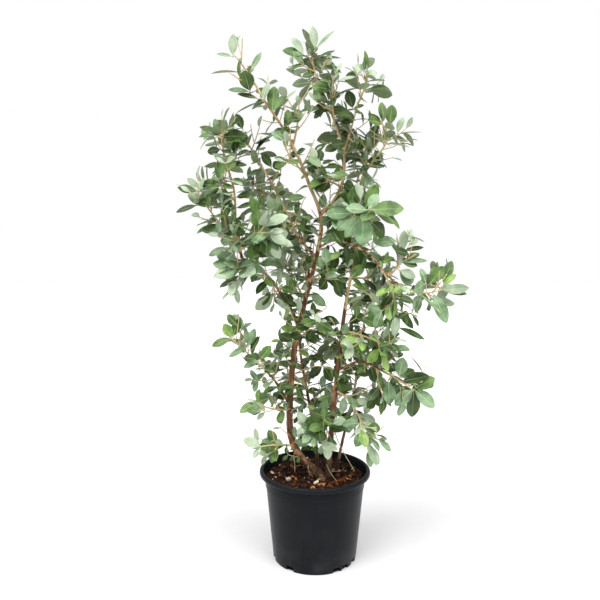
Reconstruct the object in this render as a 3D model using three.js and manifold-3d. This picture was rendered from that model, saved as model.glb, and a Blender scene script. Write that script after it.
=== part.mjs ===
// A feijoa shrub in a black nursery pot. Millimetres, +Z up.
// The origin is the centre of the pot's flat underside. The camera side is -Y.
import * as THREE from 'three';
import { mergeVertices } from 'three/addons/utils/BufferGeometryUtils.js';
import Module from 'manifold-3d';

const wasm = await Module();
wasm.setup();

// Running gap between neighbouring pieces.
const GAP = 0.3;
const UP = new THREE.Vector3(0, 0, 1);

// Points this close count as one point.
const COARSE_MERGE = 1e-3;
const FINE_MERGE = 1e-4;

// Pot: a thin tapered wall, a wider collar under a rolled lip, and a flat floor.
const POT_HEIGHT = 204;
const POT_LIP_RADIUS = 125;
const POT_LIP_HEIGHT = 11.5;
const POT_LIP_ROUND = 3;
const POT_MOUTH_RADIUS = 116;
const POT_COLLAR_RADIUS = 112;
const POT_COLLAR_FOOT = 167;
const POT_STEP = 1.6;
const POT_FOOT_RADIUS = 94.5;
const POT_FOOT_CHAMFER = 1.5;
const POT_WALL = 2.6;
const POT_FLOOR = 3;
const POT_SIDES = 32;

// Drain notches in the foot, by their angle round the pot from the camera side.
const NOTCH_ANGLES = [-76, -36, 29, 43, 62, 80, 116, 152, 188, 224];
const NOTCH_WIDTH = 18;
const NOTCH_HEIGHT = 10.5;
const NOTCH_DEPTH = 9;

// Potting mix fills the pot to a little under its lip.
const MIX_TOP = 190;

// Stems and boughs.
const STEM_SIDES = 8;
const BOUGH_SIDES = 6;
const STEM_STEP = 40;
const BOUGH_STEP = 34;
const ROOT_FLARE = 4;
const ROOT_FLARE_HEIGHT = 16;

// Twigs and leaves. A leaf is a stretched octahedron with its root sunk in the twig.
// Angles are in degrees and vary by half of ANGLE_SPREAD either way; turns are in radians.
const ANGLE_SPREAD = 16;
const TWIG_FOOT_RADIUS = 2.6;
const TWIG_TIP_RADIUS = 1.5;
const TWIG_STEP = 62;
const SIDE_TWIG_LENGTH = 58;
const SIDE_TWIG_ANGLE = 52;
const SIDE_TWIG_TAPER = 0.6;
const SIDE_TWIG_TURN = 2.4;
const SIDE_TWIG_LIFT = 0.22;
const SIDE_TWIG_FOOT_RADIUS = 1.3;
const SIDE_TWIG_TIP_RADIUS = 1.1;
const SIDE_TWIG_FIRST = 26;
const SIDE_TWIG_SPACING = 34;
const LEAF_LENGTH = 72;
const LEAF_WIDTH_RATIO = 0.6;
const LEAF_THICKNESS = 1.6;
const LEAF_SPACING = 37;
const LEAF_FIRST = 16;
const LEAF_BELOW_TIP = 4;
const LEAF_ANGLE = 54;
const LEAF_TIP_ANGLE = 32;
const LEAF_CURL = 0.1;
const LEAF_ROLL = 0.7;
const FACE_OUTWARD = 0.7;
const FACE_FORWARD = 0.3;
const LEAF_NECK = 0.3;
const LEAF_THICKEST = 0.42;
const LEAF_TIP_SIZE = 0.86;
const LEAF_SEED_STEP = 31;
const LEAF_CLEARANCE = 0.6;
const TWIG_CLEARANCE = 0.8;

// Each mass has a seed of its own.
const FIRST_SEED = 101;
const SEED_STEP = 7;

// The upright line that the leaves turn their faces away from.
const CROWN_AXIS = [10, 70];

// Each stem: its path from the mix upwards, and its radius at foot and tip.
const STEMS = [
  {
    name: 'stem_left', foot: 8.4, tip: 2.1,
    path: [[24, -20, 176], [-3, -26, 211], [-30, -28, 238], [-53, -24, 282], [-55, -12, 378], [-43, 0, 495],
      [-27, 5, 566], [13, 16, 758], [-14, 8, 840], [-55, -5, 932], [-114, -18, 1019]],
  },
  {
    name: 'stem_right', foot: 6.8, tip: 2.4,
    path: [[29, -12, 176], [33, -18, 257], [43, -30, 383], [53, -34, 481], [66, -30, 588], [89, -20, 695],
      [101, -8, 752]],
  },
  {
    name: 'stem_back', foot: 4.2, tip: 2.2,
    path: [[6, 10, 176], [3, 18, 255], [-14, 52, 350], [-34, 84, 470], [-30, 104, 590]],
  },
  {
    name: 'stem_side', foot: 3.6, tip: 2.0,
    path: [[46, 8, 176], [60, 14, 247], [84, 38, 340], [106, 66, 440], [118, 86, 540]],
  },
];

// Each bough: the limb it leaves, how far along that limb, its bends, and its radii.
const BOUGHS = [
  {
    name: 'bough_leader_right', limb: 'stem_left', at: 0.695, foot: 4.2, tip: 2.7,
    path: [[39, 20, 802], [61, 26, 850], [64, 28, 912]],
  },
  {
    name: 'bough_top_centre', limb: 'bough_leader_right', at: 1, foot: 2.5, tip: 1.8,
    path: [[45, 34, 968], [24, 39, 1026]],
  },
  {
    name: 'bough_top_right', limb: 'bough_leader_right', at: 1, foot: 2.3, tip: 1.6,
    path: [[80, 26, 968], [91, 22, 1012]],
  },
  {
    name: 'bough_right_upper', limb: 'bough_leader_right', at: 0.33, foot: 2.6, tip: 1.8,
    path: [[88, 12, 828], [112, 0, 872], [130, -5, 898]],
  },
  {
    name: 'bough_left_low', limb: 'stem_left', at: 0.42, foot: 4.2, tip: 2.8,
    path: [[-64, -15, 586], [-112, -44, 652], [-154, -65, 678]],
  },
  {
    name: 'bough_left_high', limb: 'bough_left_low', at: 1, foot: 2.8, tip: 1.8,
    path: [[-166, -70, 736], [-169, -72, 820], [-186, -72, 880]],
  },
  {
    name: 'bough_middle_left', limb: 'stem_left', at: 0.59, foot: 3.2, tip: 1.9,
    path: [[-34, 20, 722], [-62, 26, 776], [-98, 30, 846], [-118, 30, 880]],
  },
  {
    name: 'bough_arch', limb: 'stem_left', at: 0.615, foot: 2.6, tip: 2.0,
    path: [[42, -26, 718], [84, -52, 706], [120, -64, 682]],
  },
  {
    name: 'bough_right_outer', limb: 'bough_arch', at: 1, foot: 2.0, tip: 1.6,
    path: [[152, -82, 642], [200, -95, 614]],
  },
  {
    name: 'bough_right_low', limb: 'stem_right', at: 0.45, foot: 2.8, tip: 2.0,
    path: [[98, -64, 462], [148, -88, 442]],
  },
  {
    name: 'bough_left_foot', limb: 'stem_left', at: 0.225, foot: 2.8, tip: 2.0,
    path: [[-86, -26, 408], [-112, -34, 440]],
  },
  {
    name: 'bough_back_middle', limb: 'stem_left', at: 0.52, foot: 3.0, tip: 1.8,
    path: [[-18, 60, 690], [-52, 118, 780]],
  },
];

// Each mass of foliage: the limb that carries it, how far along, where its own stem ends, how
// that stem bows, the turn of its first side twig round it in degrees, its number of side
// twigs, and the radius of the space that it keeps to.
const MASSES = [
  {
    name: 'top_left', limb: 'stem_left', at: 1, tip: [-172, -26, 1104],
    bow: [6, 0, 4], turn: 210, sides: 3, reach: 80,
  },
  {
    name: 'top_centre', limb: 'bough_top_centre', at: 1, tip: [-8, 40, 1120],
    bow: [-10, 0, -2], turn: 300, sides: 4, reach: 96,
  },
  {
    name: 'top_inner', limb: 'bough_top_centre', at: 0.55, tip: [30, 4, 1042],
    bow: [0, -6, -6], turn: 270, sides: 3, reach: 78,
  },
  {
    name: 'top_right', limb: 'bough_top_right', at: 1, tip: [112, 16, 1066],
    bow: [4, 0, 0], turn: 190, sides: 3, reach: 82,
  },
  {
    name: 'right_upper', limb: 'bough_right_upper', at: 1, tip: [158, -14, 948],
    bow: [6, 0, -8], turn: 90, sides: 3, reach: 90,
  },
  {
    name: 'right_shoulder', limb: 'bough_right_upper', at: 0.5, tip: [112, 8, 940],
    bow: [8, 0, 4], turn: 133, sides: 3, reach: 78,
  },
  {
    name: 'left_high', limb: 'bough_left_high', at: 1, tip: [-194, -66, 936],
    bow: [-4, 0, 8], turn: 315, sides: 3, reach: 80,
  },
  {
    name: 'left_side', limb: 'bough_left_high', at: 0.6, tip: [-190, -96, 842],
    bow: [-10, 0, -4], turn: 300, sides: 2, reach: 76,
  },
  {
    name: 'left_inner', limb: 'bough_middle_left', at: 0.3, tip: [-92, -86, 780],
    bow: [0, -8, -8], turn: 83, sides: 3, reach: 88,
  },
  {
    name: 'left_outer', limb: 'bough_left_high', at: 0.2, tip: [-238, -102, 813],
    bow: [-6, -6, -8], turn: 120, sides: 4, reach: 82,
  },
  {
    name: 'left_shoulder', limb: 'stem_left', at: 0.87, tip: [-36, -36, 1000],
    bow: [6, -4, 0], turn: 227, sides: 2, reach: 78,
  },
  {
    name: 'left_crown', limb: 'stem_left', at: 0.79, tip: [-64, -62, 906],
    bow: [2, -8, -6], turn: 120, sides: 3, reach: 78,
  },
  {
    name: 'middle_left', limb: 'bough_middle_left', at: 1, tip: [-158, 30, 944],
    bow: [-2, 0, 6], turn: 284, sides: 3, reach: 94,
  },
  {
    name: 'middle_back', limb: 'bough_middle_left', at: 0.6, tip: [-138, 92, 842],
    bow: [0, 8, 0], turn: 29, sides: 3, reach: 88,
  },
  {
    name: 'front_left', limb: 'bough_left_high', at: 0.1, tip: [-102, -148, 748],
    bow: [0, -10, -10], turn: 331, sides: 3, reach: 96,
  },
  {
    name: 'left_hanging', limb: 'bough_left_low', at: 0.96, tip: [-152, -118, 646],
    bow: [-8, -8, 6], turn: 90, sides: 3, reach: 84,
  },
  {
    name: 'left_under', limb: 'bough_left_low', at: 0.6, tip: [-84, -14, 602],
    bow: [-4, 6, 0], turn: 240, sides: 3, reach: 82,
  },
  {
    name: 'front_right', limb: 'stem_left', at: 0.68, tip: [130, -122, 782],
    bow: [0, -4, 12], turn: 7, sides: 3, reach: 86,
  },
  {
    name: 'centre_upper', limb: 'bough_leader_right', at: 0.5, tip: [10, -30, 852],
    bow: [-6, -8, 4], turn: 233, sides: 3, reach: 84,
  },
  {
    name: 'right_middle', limb: 'bough_right_outer', at: 0.45, tip: [182, -72, 694],
    bow: [8, 0, -4], turn: 144, sides: 3, reach: 84,
  },
  {
    name: 'right_outer', limb: 'bough_right_outer', at: 1, tip: [256, -95, 618],
    bow: [0, 0, -8], turn: 240, sides: 3, reach: 104,
  },
  {
    name: 'right_fresh', limb: 'bough_right_outer', at: 0.3, tip: [170, -86, 560],
    bow: [6, -6, 6], turn: 333, sides: 4, reach: 96,
  },
  {
    name: 'right_inner', limb: 'stem_right', at: 0.8, tip: [128, -10, 640],
    bow: [8, -10, -6], turn: 123, sides: 4, reach: 96,
  },
  {
    name: 'right_green', limb: 'stem_right', at: 0.6, tip: [154, -108, 496],
    bow: [8, -10, 10], turn: 205, sides: 5, reach: 104,
  },
  {
    name: 'right_low', limb: 'bough_right_low', at: 1, tip: [202, -106, 408],
    bow: [0, -2, 6], turn: 270, sides: 2, reach: 88,
  },
  {
    name: 'right_under', limb: 'bough_right_low', at: 0.8, tip: [138, -52, 376],
    bow: [4, 4, 0], turn: 254, sides: 3, reach: 90,
  },
  {
    name: 'left_foot', limb: 'bough_left_foot', at: 1, tip: [-184, -56, 514],
    bow: [-4, 0, 4], turn: 240, sides: 3, reach: 76,
  },
  {
    name: 'left_low', limb: 'stem_left', at: 0.215, tip: [-124, -76, 376],
    bow: [-8, -6, -10], turn: 0, sides: 1, reach: 72,
  },
  {
    name: 'left_lowest', limb: 'stem_left', at: 0.125, tip: [-118, -70, 278],
    bow: [0, -6, 8], turn: 330, sides: 1, reach: 64,
  },
  {
    name: 'hanging', limb: 'stem_right', at: 0.37, tip: [108, -88, 284],
    bow: [18, 0, 40], turn: 90, sides: 4, reach: 84,
  },
  {
    name: 'centre_low', limb: 'stem_right', at: 0.26, tip: [6, -78, 318],
    bow: [-4, -10, -4], turn: 211, sides: 4, reach: 92,
  },
  {
    name: 'centre_middle', limb: 'stem_left', at: 0.38, tip: [4, -58, 566],
    bow: [6, -8, -6], turn: 29, sides: 3, reach: 86,
  },
  {
    name: 'centre_high', limb: 'stem_left', at: 0.54, tip: [48, -78, 640],
    bow: [-6, -8, -4], turn: 104, sides: 4, reach: 92,
  },
  {
    name: 'back_left_low', limb: 'stem_back', at: 0.5, tip: [-90, 122, 434],
    bow: [-8, 4, 0], turn: 265, sides: 3, reach: 92,
  },
  {
    name: 'back_centre_low', limb: 'stem_back', at: 0.26, tip: [32, 104, 328],
    bow: [4, -4, 4], turn: 94, sides: 4, reach: 90,
  },
  {
    name: 'back_centre', limb: 'stem_side', at: 0.8, tip: [24, 112, 456],
    bow: [0, 8, 0], turn: 2, sides: 4, reach: 88,
  },
  {
    name: 'back_left', limb: 'stem_back', at: 1, tip: [-70, 164, 672],
    bow: [0, 6, -4], turn: 3, sides: 4, reach: 108,
  },
  {
    name: 'back_right_low', limb: 'stem_side', at: 0.6, tip: [170, 108, 464],
    bow: [4, 4, 4], turn: 177, sides: 4, reach: 80,
  },
  {
    name: 'back_right', limb: 'stem_side', at: 1, tip: [158, 136, 606],
    bow: [4, 4, -4], turn: 172, sides: 4, reach: 110,
  },
  {
    name: 'back_middle', limb: 'bough_back_middle', at: 1, tip: [-100, 172, 800],
    bow: [0, 6, -4], turn: 209, sides: 3, reach: 90,
  },
  {
    name: 'back_top', limb: 'bough_leader_right', at: 0.62, tip: [66, 120, 988],
    bow: [0, 16, -10], turn: 176, sides: 4, reach: 82,
  },
  {
    name: 'back_right_high', limb: 'stem_right', at: 0.86, tip: [108, 118, 792],
    bow: [4, 6, -4], turn: 89, sides: 4, reach: 90,
  },
];

const COLOURS = {
  pot: '#2b2d30',
  mix: '#3a2416',
  bark: '#8a5a45',
  leaf: ['#5d7f58', '#4a6b45', '#6f8f77', '#7d9f6c'],
};

function material(colour, roughness) {
  return new THREE.MeshStandardMaterial({ color: colour, roughness, metalness: 0 });
}

// Numbers from 0 to 1 that are the same for the same seed.
function seededRandom(seed) {
  let state = seed >>> 0;
  return () => {
    state = (state + 0x6d2b79f5) >>> 0;
    let mixed = Math.imul(state ^ (state >>> 15), state | 1);
    mixed ^= mixed + Math.imul(mixed ^ (mixed >>> 7), mixed | 61);
    return ((mixed ^ (mixed >>> 14)) >>> 0) / 4294967296;
  };
}

function solidOf(geometry) {
  const bare = geometry.clone();
  bare.deleteAttribute('normal');
  bare.deleteAttribute('uv');
  const merged = mergeVertices(bare, FINE_MERGE);
  return new wasm.Manifold(new wasm.Mesh({
    numProp: 3,
    vertProperties: new Float32Array(merged.attributes.position.array),
    triVerts: new Uint32Array(merged.index.array),
  }));
}

function geometryOf(solid) {
  const mesh = solid.getMesh();
  const geometry = new THREE.BufferGeometry();
  geometry.setAttribute('position', new THREE.BufferAttribute(new Float32Array(mesh.vertProperties), 3));
  geometry.setIndex(new THREE.BufferAttribute(new Uint32Array(mesh.triVerts), 1));
  return geometry;
}

// True where every edge still joins two faces once points closer than a hair are merged.
function closesWell(solid) {
  const merged = mergeVertices(geometryOf(solid), COARSE_MERGE);
  const position = merged.attributes.position;
  const numbers = new Map();
  const numberOf = (vertex) => {
    const point = [position.getX(vertex), position.getY(vertex), position.getZ(vertex)];
    const key = point.map((value) => Math.round(value / FINE_MERGE)).join();
    if (!numbers.has(key)) {
      numbers.set(key, numbers.size);
    }
    return numbers.get(key);
  };
  const corners = Array.from(merged.index.array, numberOf);
  const facesAtEdge = new Map();
  for (let i = 0; i < corners.length; i += 3) {
    const face = corners.slice(i, i + 3);
    if (new Set(face).size < 3) {
      continue;
    }
    face.forEach((from, k) => {
      const to = face[(k + 1) % 3];
      const edge = Math.min(from, to) * corners.length + Math.max(from, to);
      facesAtEdge.set(edge, (facesAtEdge.get(edge) ?? 0) + 1);
    });
  }
  return [...facesAtEdge.values()].every((count) => count === 2);
}

// The largest body of a solid: sealed hollows are filled and loose scraps dropped.
function mainBody(solid) {
  const bodies = solid.decompose();
  return bodies.reduce((best, body) => (body.volume() > best.volume() ? body : best));
}

// Rings of points round a curve, from one fraction of it to the end.
function ringsAlong(curve, radiusAt, sides, steps, start = 0) {
  const rings = [];
  const frames = curve.computeFrenetFrames(steps, false);
  for (let i = 0; i <= steps; i += 1) {
    const along = start + (1 - start) * (i / steps);
    const centre = curve.getPointAt(along);
    const radius = radiusAt(along);
    const ring = [];
    for (let k = 0; k < sides; k += 1) {
      const angle = (2 * Math.PI * k) / sides;
      ring.push(centre.clone()
        .addScaledVector(frames.normals[i], radius * Math.cos(angle))
        .addScaledVector(frames.binormals[i], radius * Math.sin(angle)));
    }
    rings.push(ring);
  }
  return rings;
}

// A closed tube through rings of points, capped flat at both ends.
function tubeGeometry(rings) {
  const sides = rings[0].length;
  const index = [];
  for (let i = 0; i + 1 < rings.length; i += 1) {
    for (let k = 0; k < sides; k += 1) {
      const a = i * sides + k;
      const b = i * sides + ((k + 1) % sides);
      index.push(a, b, b + sides, a, b + sides, a + sides);
    }
  }
  const last = (rings.length - 1) * sides;
  for (let k = 1; k + 1 < sides; k += 1) {
    index.push(0, k + 1, k);
    index.push(last, last + k, last + k + 1);
  }
  const geometry = new THREE.BufferGeometry().setFromPoints(rings.flat());
  geometry.setIndex(index);
  return geometry;
}

function facesOfTube(sides) {
  const faces = [];
  for (let k = 0; k < sides; k += 1) {
    const next = (k + 1) % sides;
    faces.push([k, next, next + sides], [k, next + sides, k + sides]);
  }
  for (let k = 1; k + 1 < sides; k += 1) {
    faces.push([0, k + 1, k], [sides, sides + k, sides + k + 1]);
  }
  return faces;
}

// A convex body for testing clearances: its points, face normals and edge directions.
function convexBody(points, faces) {
  const normals = [];
  const edges = [];
  for (const [a, b, c] of faces) {
    const ab = points[b].clone().sub(points[a]);
    const ac = points[c].clone().sub(points[a]);
    normals.push(ab.clone().cross(ac).normalize());
    edges.push(ab.normalize(), points[c].clone().sub(points[b]).normalize());
  }
  const centre = points.reduce((sum, point) => sum.add(point), new THREE.Vector3());
  centre.divideScalar(points.length);
  const radius = Math.max(...points.map((point) => point.distanceTo(centre)));
  return { points, normals, edges, centre, radius };
}

// The clear distance between two convex bodies along the best of their separating axes.
function separation(one, other, enough) {
  const far = one.centre.distanceTo(other.centre) - one.radius - other.radius;
  if (far > enough) {
    return far;
  }
  let best = -Infinity;
  const tryAxis = (axis) => {
    let oneLow = Infinity;
    let oneHigh = -Infinity;
    let otherLow = Infinity;
    let otherHigh = -Infinity;
    for (const point of one.points) {
      const value = axis.dot(point);
      oneLow = Math.min(oneLow, value);
      oneHigh = Math.max(oneHigh, value);
    }
    for (const point of other.points) {
      const value = axis.dot(point);
      otherLow = Math.min(otherLow, value);
      otherHigh = Math.max(otherHigh, value);
    }
    best = Math.max(best, otherLow - oneHigh, oneLow - otherHigh);
    return best >= enough;
  };
  const across = new THREE.Vector3();
  for (const normal of [...one.normals, ...other.normals]) {
    if (tryAxis(normal)) {
      return best;
    }
  }
  for (const a of one.edges) {
    for (const b of other.edges) {
      across.crossVectors(a, b);
      if (across.lengthSq() > 1e-6 && tryAxis(across.normalize())) {
        return best;
      }
    }
  }
  return best;
}

function isClear(body, others, clearance) {
  return others.every((other) => separation(body, other, clearance) >= clearance);
}

function bodiesOfTube(rings) {
  const faces = facesOfTube(rings[0].length);
  const bodies = [];
  for (let i = 0; i + 1 < rings.length; i += 1) {
    bodies.push(convexBody([...rings[i], ...rings[i + 1]], faces));
  }
  return bodies;
}

// Pot
function makePot() {
  const lipFoot = POT_HEIGHT - POT_LIP_HEIGHT;
  const profile = [
    [0, 0],
    [POT_FOOT_RADIUS - POT_FOOT_CHAMFER, 0],
    [POT_FOOT_RADIUS, POT_FOOT_CHAMFER],
    [POT_COLLAR_RADIUS - POT_STEP, POT_COLLAR_FOOT - POT_STEP],
    [POT_COLLAR_RADIUS, POT_COLLAR_FOOT],
    [POT_COLLAR_RADIUS, lipFoot],
    [POT_LIP_RADIUS - POT_LIP_ROUND, lipFoot],
    [POT_LIP_RADIUS, lipFoot + POT_LIP_ROUND],
    [POT_LIP_RADIUS, POT_HEIGHT - POT_LIP_ROUND],
    [POT_LIP_RADIUS - POT_LIP_ROUND, POT_HEIGHT],
    [POT_MOUTH_RADIUS + POT_LIP_ROUND, POT_HEIGHT],
    [POT_MOUTH_RADIUS, POT_HEIGHT - POT_LIP_ROUND],
    [POT_COLLAR_RADIUS - POT_WALL, MIX_TOP],
    [POT_FOOT_RADIUS - POT_WALL, POT_FLOOR],
    [0, POT_FLOOR],
  ].map(([radius, height]) => new THREE.Vector2(radius, height));
  const shell = new THREE.LatheGeometry(profile, POT_SIDES);
  shell.rotateX(Math.PI / 2);
  let pot = solidOf(shell);
  for (const angle of NOTCH_ANGLES) {
    const notch = new THREE.BoxGeometry(NOTCH_WIDTH, NOTCH_DEPTH, NOTCH_HEIGHT * 2);
    notch.translate(0, -POT_FOOT_RADIUS, 0);
    notch.rotateZ(THREE.MathUtils.degToRad(angle));
    pot = pot.subtract(solidOf(notch));
  }
  return pot;
}

function makeMix() {
  const footRadius = POT_FOOT_RADIUS - POT_WALL - GAP;
  const topRadius = POT_COLLAR_RADIUS - POT_WALL - GAP;
  const profile = [
    [0, POT_FLOOR + GAP],
    [footRadius, POT_FLOOR + GAP],
    [topRadius, MIX_TOP],
    [0, MIX_TOP],
  ].map(([radius, height]) => new THREE.Vector2(radius, height));
  const fill = new THREE.LatheGeometry(profile, POT_SIDES);
  fill.rotateX(Math.PI / 2);
  return solidOf(fill);
}

// Limbs: every stem and bough keeps its curve, radii, solid and clearance bodies.
const limbs = new Map();

function limbRadius(row, isStem, length) {
  return (along) => {
    const taper = row.foot + (row.tip - row.foot) * along;
    const flare = isStem ? ROOT_FLARE * Math.exp(-(along * length) / ROOT_FLARE_HEIGHT) : 0;
    return taper + flare;
  };
}

function addLimb(row, points, isStem) {
  const curve = new THREE.CatmullRomCurve3(points, false, 'centripetal');
  const length = curve.getLength();
  const radiusAt = limbRadius(row, isStem, length);
  const sides = isStem ? STEM_SIDES : BOUGH_SIDES;
  const steps = Math.max(2, Math.round(length / (isStem ? STEM_STEP : BOUGH_STEP)));
  const rings = ringsAlong(curve, radiusAt, sides, steps);
  const grown = ringsAlong(curve, (along) => radiusAt(along) + GAP, sides, steps);
  const end = grown[grown.length - 1];
  const heading = curve.getTangentAt(1);
  grown[grown.length - 1] = end.map((point) => point.clone().addScaledVector(heading, GAP));
  let solid = solidOf(tubeGeometry(rings));
  for (const other of limbs.values()) {
    solid = solid.subtract(other.keepOut);
  }
  limbs.set(row.name, {
    curve, length, radiusAt, solid,
    keepOut: solidOf(tubeGeometry(grown)),
    bodies: bodiesOfTube(rings),
  });
}

function growLimbs() {
  for (const row of STEMS) {
    addLimb(row, row.path.map((point) => new THREE.Vector3(...point)), true);
  }
  for (const row of BOUGHS) {
    const parent = limbs.get(row.limb);
    const anchor = parent.curve.getPointAt(row.at);
    addLimb(row, [anchor, ...row.path.map((point) => new THREE.Vector3(...point))], false);
  }
  const ground = new THREE.BoxGeometry(600, 600, 100);
  ground.translate(0, 0, MIX_TOP + GAP - 50);
  const groundSolid = solidOf(ground);
  for (const limb of limbs.values()) {
    limb.solid = mainBody(limb.solid.subtract(groundSolid));
  }
}

// The twigs of one mass: its own stem, then side twigs from alternate sides of it.
function planTwigs(row, seed) {
  const random = seededRandom(seed);
  const anchor = limbs.get(row.limb).curve.getPointAt(row.at);
  const tip = new THREE.Vector3(...row.tip);
  const bend = anchor.clone().lerp(tip, 0.5).add(new THREE.Vector3(...row.bow));
  const stem = new THREE.QuadraticBezierCurve3(anchor, bend, tip);
  const length = stem.getLength();
  const twigs = [{ curve: stem, length, foot: TWIG_FOOT_RADIUS, tip: TWIG_TIP_RADIUS }];
  const spacing = Math.min(SIDE_TWIG_SPACING, (length - SIDE_TWIG_FIRST) / row.sides);
  const turn = THREE.MathUtils.degToRad(row.turn);
  for (let i = 0; i < row.sides; i += 1) {
    const along = (SIDE_TWIG_FIRST + spacing * (i + 0.3 * random())) / length;
    const heading = stem.getTangentAt(along);
    const around = turn + i * SIDE_TWIG_TURN + random();
    const level = new THREE.Vector3().crossVectors(heading, UP).normalize();
    const rise = new THREE.Vector3().crossVectors(level, heading);
    const outward = level.multiplyScalar(Math.cos(around)).addScaledVector(rise, Math.sin(around));
    const angle = THREE.MathUtils.degToRad(SIDE_TWIG_ANGLE + ANGLE_SPREAD * (random() - 0.5));
    const way = heading.clone().multiplyScalar(Math.cos(angle)).addScaledVector(outward, Math.sin(angle));
    const reach = SIDE_TWIG_LENGTH * (1.1 - SIDE_TWIG_TAPER * along) * (0.8 + 0.4 * random());
    const start = stem.getPointAt(along);
    const end = start.clone().addScaledVector(way, reach).addScaledVector(UP, SIDE_TWIG_LIFT * reach);
    const middle = start.clone().addScaledVector(way, reach * 0.5);
    const curve = new THREE.QuadraticBezierCurve3(start, middle, end);
    twigs.push({ curve, length: curve.getLength(), foot: SIDE_TWIG_FOOT_RADIUS, tip: SIDE_TWIG_TIP_RADIUS });
  }
  return twigs;
}

// The leaves of one twig: opposite pairs, each pair turned a quarter from the last.
function planLeaves(twig, seed) {
  const random = seededRandom(seed);
  const count = Math.max(0, Math.round((twig.length - LEAF_FIRST) / LEAF_SPACING));
  const leaves = [];
  for (let i = 0; i <= count; i += 1) {
    const atTip = i === count;
    const along = (atTip ? twig.length - LEAF_BELOW_TIP : LEAF_FIRST + LEAF_SPACING * i) / twig.length;
    const heading = twig.curve.getTangentAt(along);
    const level = new THREE.Vector3().crossVectors(heading, UP).normalize();
    const rise = new THREE.Vector3().crossVectors(level, heading);
    const around = (i % 2) * (Math.PI / 2) + 0.5 * (random() - 0.5);
    const root = twig.curve.getPointAt(along);
    const light = new THREE.Vector3(root.x - CROWN_AXIS[0], root.y - CROWN_AXIS[1], 0).normalize();
    light.multiplyScalar(FACE_OUTWARD).add(UP).addScaledVector(heading, FACE_FORWARD);
    for (const side of [0, Math.PI]) {
      const outward = level.clone().multiplyScalar(Math.cos(around + side))
        .addScaledVector(rise, Math.sin(around + side));
      const lean = (atTip ? LEAF_TIP_ANGLE : LEAF_ANGLE) + ANGLE_SPREAD * (random() - 0.5);
      const angle = THREE.MathUtils.degToRad(lean);
      const way = heading.clone().multiplyScalar(Math.cos(angle)).addScaledVector(outward, Math.sin(angle));
      const size = LEAF_LENGTH * (atTip ? LEAF_TIP_SIZE : 1) * (0.82 + 0.3 * random());
      const face = light.clone().addScaledVector(way, -light.dot(way)).normalize();
      face.applyAxisAngle(way, LEAF_ROLL * 2 * (random() - 0.5));
      leaves.push({ root, way, face, size });
    }
  }
  return leaves;
}

const LEAF_FACES = [
  [2, 0, 4], [1, 2, 4], [3, 1, 4], [0, 3, 4],
  [0, 2, 5], [2, 1, 5], [1, 3, 5], [3, 0, 5],
];

// Six points of a leaf: root, tip, two sides, upper and lower middle.
function leafPoints(leaf) {
  const across = new THREE.Vector3().crossVectors(leaf.face, leaf.way);
  const halfWidth = (leaf.size * LEAF_WIDTH_RATIO) / 2;
  const arch = leaf.size * LEAF_CURL;
  const middle = leaf.root.clone().addScaledVector(leaf.way, leaf.size * 0.5);
  const thickest = leaf.root.clone().addScaledVector(leaf.way, leaf.size * LEAF_THICKEST);
  return [
    leaf.root.clone(),
    leaf.root.clone().addScaledVector(leaf.way, leaf.size).addScaledVector(leaf.face, -arch),
    middle.clone().addScaledVector(across, halfWidth),
    middle.clone().addScaledVector(across, -halfWidth),
    thickest.clone().addScaledVector(leaf.face, LEAF_THICKNESS / 2),
    thickest.clone().addScaledVector(leaf.face, -LEAF_THICKNESS / 2),
  ];
}

// The leaf past its narrow neck, which keeps clear of the other leaves of its mass.
function bladePoints(leaf, points) {
  const neck = leaf.root.clone().addScaledVector(leaf.way, leaf.size * LEAF_NECK);
  return [neck, ...points.slice(1)];
}

function leafGeometry(points) {
  const geometry = new THREE.BufferGeometry().setFromPoints(points);
  geometry.setIndex(LEAF_FACES.flat());
  return geometry;
}

function twigRings(twig, start) {
  const steps = Math.max(1, Math.round(twig.length / TWIG_STEP));
  const radiusAt = (along) => twig.foot + (twig.tip - twig.foot) * along;
  return ringsAlong(twig.curve, radiusAt, 3, steps, start);
}

// The first place along a mass's stem that stands clear of the limb that carries it.
function clearStart(twig, limbBodies) {
  const step = 0.1 / twig.length;
  let start = 0;
  while (start < 0.5 && !isClear(bodiesOfTube(twigRings(twig, start))[0], limbBodies, GAP)) {
    start += step;
  }
  return start;
}

// A mass before it leafs: its twigs, and where its own stem starts.
function planMass(row, seed, limbBodies) {
  const twigs = planTwigs(row, seed);
  const start = clearStart(twigs[0], limbBodies);
  return { row, seed, twigs, start, stemBodies: bodiesOfTube(twigRings(twigs[0], start)) };
}

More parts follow.
